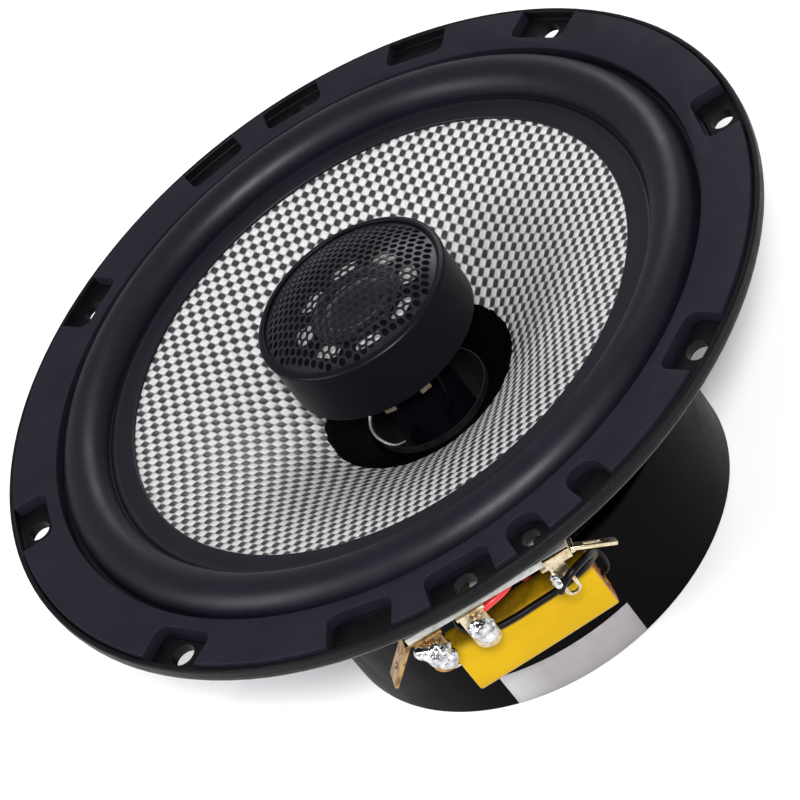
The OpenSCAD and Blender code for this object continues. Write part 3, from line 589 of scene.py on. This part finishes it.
WEAVE_ANGLE = 51.0
WEAVE_PITCH = 1.6
materials = {
    "powder_coat": powder_coat(),
    "gasket_foam": gasket_foam(),
    "surround_rubber": surround_rubber(),
    "glass_weave": glass_weave(WEAVE_ANGLE, WEAVE_PITCH),
    "black_plastic": moulded("black_plastic", (0.0018, 0.0016, 0.004), 0.34, 0.44, 0.15),
    "neck_paint": moulded("neck_paint", (0.0005, 0.0005, 0.0006), 0.55, 0.7, 0.02, 0.4),
    "former_film": film("former_film", (0.0012, 0.001, 0.0009), 0.5, 0.62),
    "copper_winding": film("copper_winding", (0.55, 0.22, 0.08), 0.25, 0.4, turns=0.3),
    "spider_cloth": cloth("spider_cloth", (0.52, 0.4, 0.18), 0.45, 0.65, 0.85),
    "zinc_plate": metal("zinc_plate", (0.58, 0.58, 0.55), 0.3, 0.5, (0.3, 1, 1)),
    "ferrite": ferrite(),
    "cover_rubber": moulded("cover_rubber", (0.0006, 0.0006, 0.0007), 0.36, 0.46, 0.035, 0.4),
    "label_foil": label_foil(),
    "grille_steel": moulded("grille_steel", (0.0062, 0.006, 0.009), 0.28, 0.4, 0.3, 0.3),
    "bright_plate": metal("bright_plate", (0.88, 0.88, 0.87), 0.4, 0.55, metallic=0.35),
    "neodymium": metal("neodymium", (0.6, 0.6, 0.62), 0.2, 0.35),
    "dome_silk": cloth("dome_silk", (0.014, 0.014, 0.018), 0.25, 0.35, 0.5, 0.3),
    "board_fibre": board_fibre(),
    "brass_tab": metal("brass_tab", (0.5, 0.31, 0.12), 0.26, 0.45, (1, 0.3, 1), (0.16, 0.08, 0.03)),
    "tinned_brass": metal("tinned_brass", (0.7, 0.61, 0.44), 0.22, 0.4, (1, 0.3, 1), (0.4, 0.26, 0.11)),
    "solder": solder_tin(),
    "capacitor_wrap": capacitor_wrap(),
    "epoxy": epoxy(),
    "tinned_wire": metal("tinned_wire", (0.62, 0.63, 0.65), 0.25, 0.4),
    "glue": glossy("glue", (0.03, 0.026, 0.022), 0.2, 0.4, 3.0, 0.2),
    "red_sleeve": glossy("red_sleeve", (0.6, 0.008, 0.014), 0.28, 0.4),
    "black_sleeve": glossy("black_sleeve", (0.0014, 0.0014, 0.002), 0.3, 0.42, 2.5, 0.06, 0.14),
    "tinsel": braid(),
}
slot_of = {s["node"]: s["material_slot"] for s in frame["record"]["subparts"]}
for node, obj in frame["nodes"].items():
    obj.material_slots[0].material = materials[slot_of[node]]


def piece(name, mesh, body, *nodes):
    """A detailed piece that stands for CAD nodes and takes the first one's material."""
    slot = slot_of[nodes[0]]
    return make_object(name, mesh, body, materials[slot], nodes)


# ---------- cone, surround and spider ----------

RIM_SLOPE = 0.28
NECK_SLOPE = 0.713


def cone_height(r):
    u = CONE_R - r
    return CONE_RIM_Z - RIM_SLOPE * u - (NECK_SLOPE - RIM_SLOPE) * u * u / (2 * (CONE_R - NECK_R))


def weave_relief(x, y):
    """Height of the woven cone's face, from 0 between yarns to 1 where a yarn crosses on top."""
    a = math.radians(WEAVE_ANGLE)
    u = (x * math.cos(a) - y * math.sin(a)) * math.pi / WEAVE_PITCH
    v = (x * math.sin(a) + y * math.cos(a)) * math.pi / WEAVE_PITCH
    return math.sqrt(abs(math.sin(u) * math.sin(v)))


def cone_mesh():
    """The woven cone: a finely divided front whose yarns stand up, and a plain back."""
    steps, rings = ((864, 100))
    radii = [NECK_R + (CONE_R - NECK_R) * i / rings for i in range(rings + 1)]
    front = [(r, cone_height(r)) for r in radii] + [(CONE_RIM_R, CONE_RIM_Z)]
    back = [(CONE_RIM_R, CONE_RIM_Z - 0.6)]
    back += [(r, cone_height(r) - 0.7) for r in (CONE_R, 48, 41, 34, 27, NECK_R)]

    def relief(r, z, a):
        if r < NECK_R + 0.01 or r > CONE_R - 0.01 or z < cone_height(r) - 0.1:
            return 0, 0
        return 0, -0.1 + 0.1 * weave_relief(r * math.cos(a), r * math.sin(a))

    return lathe("cone", front + back, steps, relief, 60.0)


piece("woven_cone", cone_mesh(), "cone_assembly", "cone")


def glue_edge(r, z, a):
    """The black coating's edge wanders a little over the weave."""
    if abs(r - NECK_R) < 0.2 and z > cone_height(NECK_R) - 0.3:
        shift = 0.35 * noise.noise(Vector((math.cos(a) * 9, math.sin(a) * 9, 0.5)))
        shift += 0.15 * noise.noise(Vector((math.cos(a) * 31, math.sin(a) * 31, 2.5)))
        return shift, shift * NECK_SLOPE
    return 0, 0


neck_top = cone_height(NECK_R)
collar_foot = low("neck_collar").z + 1
former_r = high("coil_former").x
collar_outline = [
    (former_r, collar_foot), (former_r + 0.5, collar_foot + 0.15), (former_r + 0.9, collar_foot + 0.4),
    (15.2, collar_foot + 1.3), (17, collar_foot + 2.6), (19, collar_foot + 4.1),
    (NECK_R - 0.6, neck_top - 0.38), (NECK_R - 0.15, neck_top + 0.02), (NECK_R + 0.12, neck_top + 0.1),
    (NECK_R + 0.12, neck_top - 0.72), (NECK_R + 2, cone_height(NECK_R + 2) - 0.73),
    (NECK_R + 2, cone_height(NECK_R + 2) - 1.3), (NECK_R, neck_top - 1.6),
    (former_r + 0.9, collar_foot - 0.9), (former_r, collar_foot - 1),
]
piece("neck_coating", lathe("neck", collar_outline, 288, glue_edge, 50), "cone_assembly", "neck_collar")

ROLL_R = 65.4
ROLL_Z = 2.5
ROLL_SECTION = 4.85


def surround_outline():
    """Inner lip with a bead at its edge, a crease, the half roll, and the flat that is clamped."""
    lip = CONE_RIM_Z + 0.05
    top = lip + 0.8
    upper = rounded([(CONE_R, lip, 0.1), (CONE_R, top, 0.35), (57.5, top + 0.02, 0)], 4)
    upper += [(58.8, top + 0.02), (59.2, top + 0.1), (59.55, top + 0.22), (59.9, top + 0.16),
              (60.15, top - 0.05), (60.4, top - 0.16), (60.62, top - 0.08)]
    upper += arc(ROLL_R, ROLL_Z, ROLL_SECTION, 176, 6, 34)
    upper += [(70.34, 2.35), (70.42, 2.0), (70.7, 1.84), (71.1, 1.8), (75, 1.8)]
    lower = [(75, 1), (70.6, 1)] + arc(ROLL_R, ROLL_Z, ROLL_SECTION - 0.8, 0, 180, 34)
    lower += [(61.1, lip + 0.05), (60.6, lip), (58, lip)]
    return upper + lower


surround = piece("surround_roll", lathe("surround", surround_outline(), 256, None, 55), None, "surround")
radial_blend(surround)

SPIDER_Z = -24.0
SPIDER_SHEET = 0.5
SPIDER_FOOT_R = 12.9
SPIDER_ROLLS = (15.5, 40.4)  # radii where the corrugations start and end
SPIDER_RIM_R = 44.5


def spider_outline():
    """Damper cloth: a flat foot, five round corrugations and a flat rim."""
    first, last = SPIDER_ROLLS
    line = [(SPIDER_FOOT_R, SPIDER_Z), (first - 0.5, SPIDER_Z)]
    for i in range(101):
        wave = 1.1 * math.sin(2 * math.pi * 5 * i / 100)
        line.append((first + (last - first) * i / 100, SPIDER_Z + wave))
    line += [(last + 0.8, SPIDER_Z), (SPIDER_RIM_R, SPIDER_Z)]
    return [(r, z + SPIDER_SHEET) for r, z in line] + line[::-1]


spider = piece("spider_damper", lathe("spider", spider_outline(), 192, None, 60), None, "spider")
radial_blend(spider)


def winding_outline(inner, outer, foot, top, turn):
    """A coil's section whose outer face is scalloped by its turns."""
    count = round((top - foot) / turn)
    step = (top - foot) / count
    outline = [(inner, foot)]
    for i in range(count):
        centre = foot + step * (i + 0.5)
        outline += arc(outer - step / 2, centre, step / 2, -80, 80, 4)
    return outline + [(inner, top)]


coil_low, coil_high = low("voice_coil"), high("voice_coil")
piece(
    "voice_coil_winding",
    lathe("voice_coil", winding_outline(former_r, coil_high.x, coil_low.z, coil_high.z, 0.3), 96),
    "cone_assembly", "voice_coil",
)
piece("cone_solder", eased("cone_solder_eyelets", 0.3), "cone_assembly", "cone_solder_eyelets")

# ---------- tweeter ----------

GRILLE_R = 18.9
grille_edge_z = high("tweeter_bezel").z - 0.5
grille_rise = high("tweeter_grille").z - grille_edge_z
HOLE_PITCH = 1.8
HOLE_R = 0.7


def grille_height(r):
    sphere = (GRILLE_R ** 2 + grille_rise ** 2) / (2 * grille_rise)
    return grille_edge_z + grille_rise - sphere + math.sqrt(sphere ** 2 - min(r, GRILLE_R) ** 2)


def grille_mesh():
    """A domed sheet with a staggered pattern of round holes, made flat and then domed."""
    sides = 18
    points, edges, centres = [], [], []

    def loop(cx, cy, radius, count):
        start = len(points)
        for k in range(count):
            a = 2 * math.pi * (k + 0.5) / count
            points.append(Vector((cx + radius * math.cos(a), cy + radius * math.sin(a))))
        edges.extend((start + k, start + (k + 1) % count) for k in range(count))

    loop(0, 0, GRILLE_R + 0.2, 144)
    loop(0, 0, GRILLE_R - 0.1, 144)
    row = HOLE_PITCH * math.sqrt(3) / 2
    turn = math.radians(12)
    for j in range(-13, 14):
        for i in range(-12, 13):
            x = HOLE_PITCH * (i + 0.5 * (j % 2))
            y = row * j
            if math.hypot(x, y) < GRILLE_R - 0.6:
                cx = x * math.cos(turn) - y * math.sin(turn)
                cy = x * math.sin(turn) + y * math.cos(turn)
                centres.append((cx, cy))
                loop(cx, cy, HOLE_R, sides)
    flat, _, faces, *_ = delaunay_2d_cdt(points, edges, [], 1, 1e-6)
    keep = []
    for face in faces:
        middle = sum((flat[i] for i in face), Vector((0, 0))) / len(face)
        solid = middle.length > GRILLE_R - 0.1
        if solid or all((middle - Vector(c)).length > HOLE_R * 0.97 for c in centres):
            keep.append(tuple(face))
    sheet = mesh_from("grille", [(p.x, p.y, grille_height(p.length)) for p in flat], keep, 180)
    bm = bmesh.new()
    bm.from_mesh(sheet)
    bmesh.ops.delete(bm, geom=[v for v in bm.verts if not v.link_faces], context="VERTS")
    bm.to_mesh(sheet)
    bm.free()
    thick = with_modifiers(sheet, ("SOLIDIFY", {"thickness": 0.3 * MM, "offset": -1.0}))
    return shaded(thick, 50.0)


piece("perforated_grille", grille_mesh(), "chassis", "tweeter_grille")


def dome_outline(r, rise, z, thickness):
    """Half section of a dome's shell, closed on the axis."""
    sphere = (r * r + rise * rise) / (2 * rise)
    centre = z + rise - sphere
    edge = math.degrees(math.asin(r / sphere))
    inner = math.degrees(math.asin((r - thickness * 0.6) / (sphere - thickness)))
    outer = arc(0, centre, sphere, 90 - edge, 89.2, 24)
    return outer + arc(0, centre, sphere - thickness, 89.2, 90 - inner, 24)


dome_r = high("tweeter_dome").x
dome_z = low("tweeter_dome").z
dome_rise = high("tweeter_dome").z - dome_z
piece(
    "tweeter_silk_dome", lathe("dome", dome_outline(dome_r, dome_rise, dome_z, 0.25), 128, None, 60),
    "tweeter_diaphragm", "tweeter_dome",
)
DOME_COIL_R = 6.5
TWEETER_ROLL_R = 7.9
TWEETER_LAND_R = 9.8
ROLL_HALF_WIDTH = 0.95
ring_foot = low("tweeter_surround").z + 0.05
ring_outline = [(DOME_COIL_R + 0.25, ring_foot), (DOME_COIL_R + 0.25, ring_foot + 0.15)]
ring_outline += arc(TWEETER_ROLL_R, ring_foot + 0.1, ROLL_HALF_WIDTH, 180, 0, 16)
ring_outline += [(TWEETER_LAND_R, ring_foot + 0.1), (TWEETER_LAND_R, ring_foot - 0.04)]
ring_outline += [(TWEETER_ROLL_R + 0.8, ring_foot - 0.04)]
ring_outline += arc(TWEETER_ROLL_R, ring_foot - 0.04, 0.8, 0, 180, 16)
tweeter_ring = piece(
    "tweeter_roll", lathe("tweeter_ring", ring_outline, 128, None, 60), None, "tweeter_surround",
)
radial_blend(
    tweeter_ring,
)

small_low, small_high = low("tweeter_coil"), high("tweeter_coil")
piece(
    "tweeter_winding",
    lathe(
        "tweeter_coil",
        winding_outline(DOME_COIL_R + 0.12, small_high.x, small_low.z, small_high.z, 0.16), 96,
    ),
    "tweeter_diaphragm", "tweeter_coil",
)
piece("tweeter_solder_tabs", eased("tweeter_tabs", 0.15), "chassis", "tweeter_tabs")
piece("tweeter_basket_cup", eased("tweeter_faceplate", 0.12, 2), "chassis", "tweeter_faceplate")

# ---------- wires, on the same routes as their CAD solids ----------

RED_ROUTE = [
    (-4, -70.2, -13.4), (-1.6, -70, -12.7), (1, -69.4, -12.6), (3.4, -68, -12.8), (4.7, -64.5, -14),
    (4, -58, -17.5), (3, -52.4, -21.6), (2.4, -49.4, -25), (2.4, -48.7, -28.5), (2.4, -46.6, -32),
    (2.4, -43.4, -35.4), (2.4, -42.9, -40), (2.4, -42.9, -50), (2.4, -42.9, -58), (2.4, -42.4, -61),
    (2.4, -40, -62), (2.4, -30, -62), (2.4, -18, -62), (2.4, -10.6, -61.8), (2.4, -8.9, -60),
    (2.4, -8.8, -56), (2.4, -8.8, -44), (2.4, -8.8, -36.6),
]
BLACK_ROUTE = [
    (11.6, -72.7, -16.4), (13.4, -72.9, -14.6), (16, -72.2, -13.8), (18.6, -69.8, -14.8),
    (19.6, -66.4, -17.6), (19, -62.8, -21.4), (16.6, -60.4, -24.8), (13.2, -60, -26.2),
    (8.6, -60.3, -26.9), (4, -60.5, -27), (-1, -60.8, -27), (-6, -60.6, -26.6), (-10, -58.4, -25.6),
    (-10.8, -54.6, -24.6), (-8.6, -51, -24.8), (-5.4, -49.6, -25.8), (-3, -48.9, -27.4),
    (-2.4, -48.5, -29.2), (-2.4, -46.6, -32), (-2.4, -43.4, -35.4), (-2.4, -42.9, -40),
    (-2.4, -42.9, -50), (-2.4, -42.9, -58), (-2.4, -42.4, -61), (-2.4, -40, -62), (-2.4, -30, -62),
    (-2.4, -18, -62), (-2.4, -10.6, -61.8), (-2.4, -8.9, -60), (-2.4, -8.8, -56),
    (-2.4, -8.8, -44), (-2.4, -8.8, -36.6),
]
LEAD_POSITIVE_ROUTE = [
    (4.2, -17.5, -2.7), (5.6, -16.4, -2.5), (6.6, -15.4, -3.4), (6.8, -15, -6), (6.2, -14.8, -9.5),
    (5.2, -14.4, -12.4), (4.3, -12.2, -14.4), (3.4, -10.8, -17), (2.9, -10.2, -22),
    (2.6, -9.6, -28), (2.4, -9, -33), (2.4, -8.8, -36.4),
]
LEAD_NEGATIVE_ROUTE = [
    (-3.7, -17.5, -2.7), (-5.8, -16.7, -2.4), (-7.5, -16, -2.7), (-8.4, -16.3, -3.9),
    (-9.3, -16.4, -5.9), (-9.4, -16.8, -8.2), (-8.4, -17.4, -10.4), (-7.1, -17.5, -11.7),
    (-5.5, -16.8, -12.6), (-4.4, -14.6, -13.4), (-3.7, -11.8, -14.6), (-3.2, -10.4, -17),
    (-3, -10, -22), (-2.7, -9.6, -28), (-2.4, -9, -33), (-2.4, -8.8, -36.4),
]
CAP_LEFT_ROUTE = [
    (-15.2, -56.2, -34.2), (-17, -56.4, -33.8), (-18.3, -57.4, -31.4), (-18, -60, -27),
    (-16.8, -64.4, -22.6), (-15.2, -68, -19.4), (-14.2, -70.4, -17.4),
]
CAP_RIGHT_ROUTE = [
    (16.5, -54.4, -34.2), (18, -54.4, -33.4), (18.5, -54.8, -29.5), (16.6, -54.9, -25.6),
    (12, -55.4, -22.6), (6, -57.8, -20.2), (0.6, -61.2, -17.6), (-2.6, -65.8, -15), (-4.2, -70, -15),
]
TINSEL_POSITIVE_ROUTE = [
    (-11.5, -63, -11.8), (-10.6, -58, -12.2), (-10, -54, -12.4), (-9.6, -49, -14.4), (-9.2, -44, -16.6),
    (-8.8, -39, -16.2), (-8.4, -34.6, -13.6), (-8.2, -32.6, -11.7),
]
TINSEL_NEGATIVE_ROUTE = [(-x, y, z) for x, y, z in TINSEL_POSITIVE_ROUTE]

WIRE_R = 0.75
BARE_POINTS = 9  # the negative lead is bare metal up to this point of its route
piece("wire_red", tube("wire_red", RED_ROUTE, WIRE_R), "chassis", "red_wire")
piece("wire_black", tube("wire_black", BLACK_ROUTE, WIRE_R), "chassis", "black_wire")
piece(
    "lead_negative", tube("lead_negative", LEAD_NEGATIVE_ROUTE[:BARE_POINTS], 0.3), "chassis",
    "tweeter_lead_negative",
)
make_object(
    "lead_negative_sleeve", tube("sleeve", LEAD_NEGATIVE_ROUTE[BARE_POINTS - 1:], 0.4), "chassis",
    materials["black_sleeve"],
)
piece("lead_positive", tube("lead_positive", LEAD_POSITIVE_ROUTE, 0.38), "chassis", "tweeter_lead_positive")
piece("cap_lead_left", tube("cap_lead_left", CAP_LEFT_ROUTE, 0.4), "chassis", "capacitor_lead_left")
piece("cap_lead_right", tube("cap_lead_right", CAP_RIGHT_ROUTE, 0.5), "chassis", "capacitor_lead_right")


def plait(s, a):
    """The strands of a braided lead stand out in two crossing spirals."""
    return 1 + 0.09 * abs(math.sin(3 * a + 5 * s)) + 0.09 * abs(math.sin(3 * a - 5 * s))


for name, route in (("positive", TINSEL_POSITIVE_ROUTE), ("negative", TINSEL_NEGATIVE_ROUTE)):
    lead = piece(
        "tinsel_" + name, tube("tinsel_" + name, route, 0.45, 20, 18, plait), None, "tinsel_lead_" + name
    )
    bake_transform(lead)

# ---------- terminals, gasket, label, solder and capacitor ----------

piece("fibre_board", eased("terminal_board", 0.12), "chassis", "terminal_board")
piece("tab_positive", eased("positive_terminal", 0.12, 2), "chassis", "positive_terminal")
piece("tab_negative", eased("negative_terminal", 0.12, 2), "chassis", "negative_terminal")
piece("lug_tie", eased("tie_terminal", 0.12, 2), "chassis", "tie_terminal")
piece("gasket_ring", eased("gasket", 0.35, 3), "chassis", "gasket")
piece("label_sheet", eased("rating_label", 0.03, 1), "chassis", "rating_label")


def solder_mesh():
    """Lumps of solder run together round each lug, with a frozen, wrinkled skin."""
    lumps = [
        (-13.6, -72.0, -14.4, 2.5), (-12.9, -72.0, -16.7, 2.3), (-14.3, -71.7, -15.8, 1.9),
        (-12.4, -71.5, -14.8, 1.7), (-13.6, -70.4, -15.4, 1.9), (-13.0, -71.4, -18.2, 1.4),
        (-15.0, -72.1, -13.2, 1.7), (-16.0, -72.1, -12.5, 1.4),
        (-4.4, -72.1, -14.2, 2.3), (-4.0, -71.9, -16.3, 2.2), (-4.9, -71.6, -15.0, 1.8),
        (-4.4, -70.4, -15.0, 1.9), (-3.4, -71.5, -15.4, 1.7),
        (12.4, -72.3, -14.4, 1.25), (12.2, -72.1, -13.3, 1.0),
    ]
    bm = bmesh.new()
    for x, y, z, r in lumps:
        made = bmesh.ops.create_icosphere(bm, subdivisions=3, radius=r * MM)
        bmesh.ops.translate(bm, verts=made["verts"], vec=Vector((x, y, z)) * MM)
    mesh = bpy.data.meshes.new("solder")
    bm.to_mesh(mesh)
    bm.free()
    mesh = with_modifiers(
        mesh, ("REMESH", {"mode": "VOXEL", "voxel_size": 0.16 * MM}),
        ("SMOOTH", {"factor": 0.6, "iterations": 5}),
    )
    for v in mesh.vertices:
        p = v.co / MM
        push = 0.30 * noise.noise(p * 0.75) + 0.12 * noise.noise(p * 1.9 + Vector((7, 0, 0)))
        v.co += v.normal * push * MM
    return shaded(mesh, 80.0)


piece("solder_blobs", solder_mesh(), "chassis", "solder_joints")

# The capacitor lies turned about Z, so its own length and depth are worked out from its CAD box.
CAP_TURN = math.radians(3.2)
cap_box = high("capacitor") - low("capacitor")
cap_middle = (high("capacitor") + low("capacitor")) / 2 * MM
cap_place = Matrix.Translation(cap_middle) @ Matrix.Rotation(CAP_TURN, 4, "Z")
turn_cos, turn_sin = math.cos(CAP_TURN), math.sin(CAP_TURN)
cap_len = (cap_box.x * turn_cos - cap_box.y * turn_sin) / math.cos(2 * CAP_TURN)
cap_depth = (cap_box.y * turn_cos - cap_box.x * turn_sin) / math.cos(2 * CAP_TURN)


def cap_section(x, inset, wrap=0.0):
    """The capacitor's section at x: a soft rectangle whose last turn of tape ends in a small step."""
    half_y, half_z = cap_depth / 2 - inset, cap_box.z / 2 - inset
    r = max(0.6, 2.2 - inset)
    corners = [(-half_y, -half_z, r), (half_y, -half_z, r), (half_y, half_z, r), (-half_y, half_z, r)]
    outline = rounded(corners, 7)
    dense = []
    for i, (y, z) in enumerate(outline):
        y2, z2 = outline[(i + 1) % len(outline)]
        parts = max(1, round(math.hypot(y2 - y, z2 - z) / 1.2))
        dense += [(y + (y2 - y) * k / parts, z + (z2 - z) * k / parts) for k in range(parts)]
    bulge = 0.12 * math.cos(math.pi * x / cap_len) - 0.12
    out = []
    for i, (y, z) in enumerate(dense):
        flat = Vector((y, z))
        lift = -wrap * (1 - i / (len(dense) - 1))
        flat *= 1 + (lift + bulge) / flat.length
        out.append((x, flat.x, flat.y))
    return out


def capacitor_mesh():
    """Outer skin of the wrap, folded in at both ends down to the end seals."""
    left, right = -cap_len / 2, cap_len / 2
    stations = [(left + 0.75, 0.45), (left + 0.08, 0.4), (left, 0.25), (left + 0.12, 0.06), (left + 0.5, 0.0)]
    middle = [(left + cap_len * k / 12, 0.0) for k in range(1, 12)]
    mirrored = [(left + right - x, inset) for x, inset in reversed(stations)]
    mesh = loft("capacitor", [cap_section(x, inset, 0.16) for x, inset in stations + middle + mirrored], 35)
    mesh.transform(cap_place)
    return mesh


piece("film_capacitor", capacitor_mesh(), "chassis", "capacitor")


def seal_mesh():
    """Resin that has set slightly domed in each end of the wrap."""
    points, faces = [], []
    for side in (-1, 1):
        face_x = side * (cap_len / 2 - 0.8)
        sections = []
        for depth, inset in ((0.0, 0.5), (0.75, 0.5), (0.95, 1.1), (1.06, 2.2), (1.12, 3.4)):
            section = []
            for _, y, z in cap_section(face_x, inset):
                lump = 0.12 * noise.noise(Vector((y, z, side * 3 + depth)) * 0.9) if depth > 0.8 else 0
                section.append((face_x + side * (depth + lump), y, z))
            sections.append(section)
        n, start = len(sections[0]), len(points)
        points += [p for section in sections for p in section]
        for i in range(len(sections) - 1):
            for k in range(n):
                a, b = start + i * n + k, start + i * n + (k + 1) % n
                faces.append((a, b, b + n, a + n))
        faces.append(tuple(start + k for k in range(n)))
        faces.append(tuple(start + (len(sections) - 1) * n + k for k in range(n)))
    mesh = mesh_from("seals", points, faces, 60)
    mesh.transform(cap_place)
    return mesh


piece("capacitor_resin", seal_mesh(), "chassis", "capacitor_end_seals")
piece("glue_pads", eased("capacitor_glue", 0.4, 3), "chassis", "capacitor_glue")

# ---------- camera, floor and light ----------

# The camera as it was fitted to the photo. Lengths are in metres; the shifts are across the picture.
AZIMUTH = math.radians(11.5)
ELEVATION = math.radians(37.7)
ROLL = math.radians(38.0)
DISTANCE = 0.7176
LENS_MM = 166.1
SENSOR_MM = 36
AIM = Vector((0, 0, 0.004))
SHIFT_X, SHIFT_Y = 0.00593, -0.01517
right = Vector((math.cos(AZIMUTH), math.sin(AZIMUTH), 0))
back = Vector((
    math.sin(AZIMUTH) * math.cos(ELEVATION), -math.cos(AZIMUTH) * math.cos(ELEVATION), math.sin(ELEVATION)
))
up = back.cross(right)
image_x = math.cos(ROLL) * right - math.sin(ROLL) * up
image_y = math.sin(ROLL) * right + math.cos(ROLL) * up
camera_data = bpy.data.cameras.new("camera")
camera_data.lens = LENS_MM
camera_data.sensor_width = SENSOR_MM
camera_data.clip_start = 0.01
camera = bpy.data.objects.new("camera", camera_data)
bpy.context.scene.collection.objects.link(camera)
camera.matrix_world = Matrix((image_x, image_y, back)).transposed().to_4x4()
camera.location = AIM + back * DISTANCE + image_x * SHIFT_X + image_y * SHIFT_Y
bpy.context.scene.camera = camera

floor_mesh = bpy.data.meshes.new("floor")
floor_mesh.from_pydata(
    [(-4, -4, 0), (4, -4, 0), (4, 4, 0), (-4, 4, 0)], [], [(0, 1, 2, 3)]
)
floor = bpy.data.objects.new("floor", floor_mesh)
bpy.context.scene.collection.objects.link(floor)
floor.location.z = (FLOOR_Z - 0.1) * MM
paper = Paint("paper", Specular_IOR_Level=0.1, Roughness=0.9)
paper.colour(paper.ramp(paper.noise(40), (0.3, (0.88, 0.88, 0.88)), (0.7, (0.9, 0.9, 0.9))))
floor_mesh.materials.append(paper.material)


def area_light(name, place, width, height, watts, colour=(1, 1, 1)):
    """A soft box that looks at the loudspeaker's middle."""
    light = bpy.data.lights.new(name, "AREA")
    light.shape = "RECTANGLE"
    light.size, light.size_y = width, height
    light.energy = watts
    light.color = colour
    obj = bpy.data.objects.new(name, light)
    bpy.context.scene.collection.objects.link(obj)
    obj.location = place
    obj.rotation_euler = (Vector((0, 0, -0.01)) - Vector(place)).to_track_quat("-Z", "Y").to_euler()


key_place = back * 1.5 - image_x * 0.05 + image_y * 0.11
area_light("light_key", tuple(key_place), 0.16, 0.16, 26)
area_light("light_left", (-1.1, -0.35, 0.7), 0.6, 0.7, 12, (0.93, 0.96, 1))
area_light("light_back", (0.5, 1.0, 0.65), 0.5, 0.5, 4.5, (0.95, 0.97, 1))
world = bpy.data.worlds.new("studio")
world.use_nodes = True
world.node_tree.nodes["Background"].inputs["Color"].default_value = (1, 1, 1, 1)
world.node_tree.nodes["Background"].inputs["Strength"].default_value = 0.4
bpy.context.scene.world = world
bpy.context.scene.view_settings.view_transform = "Standard"
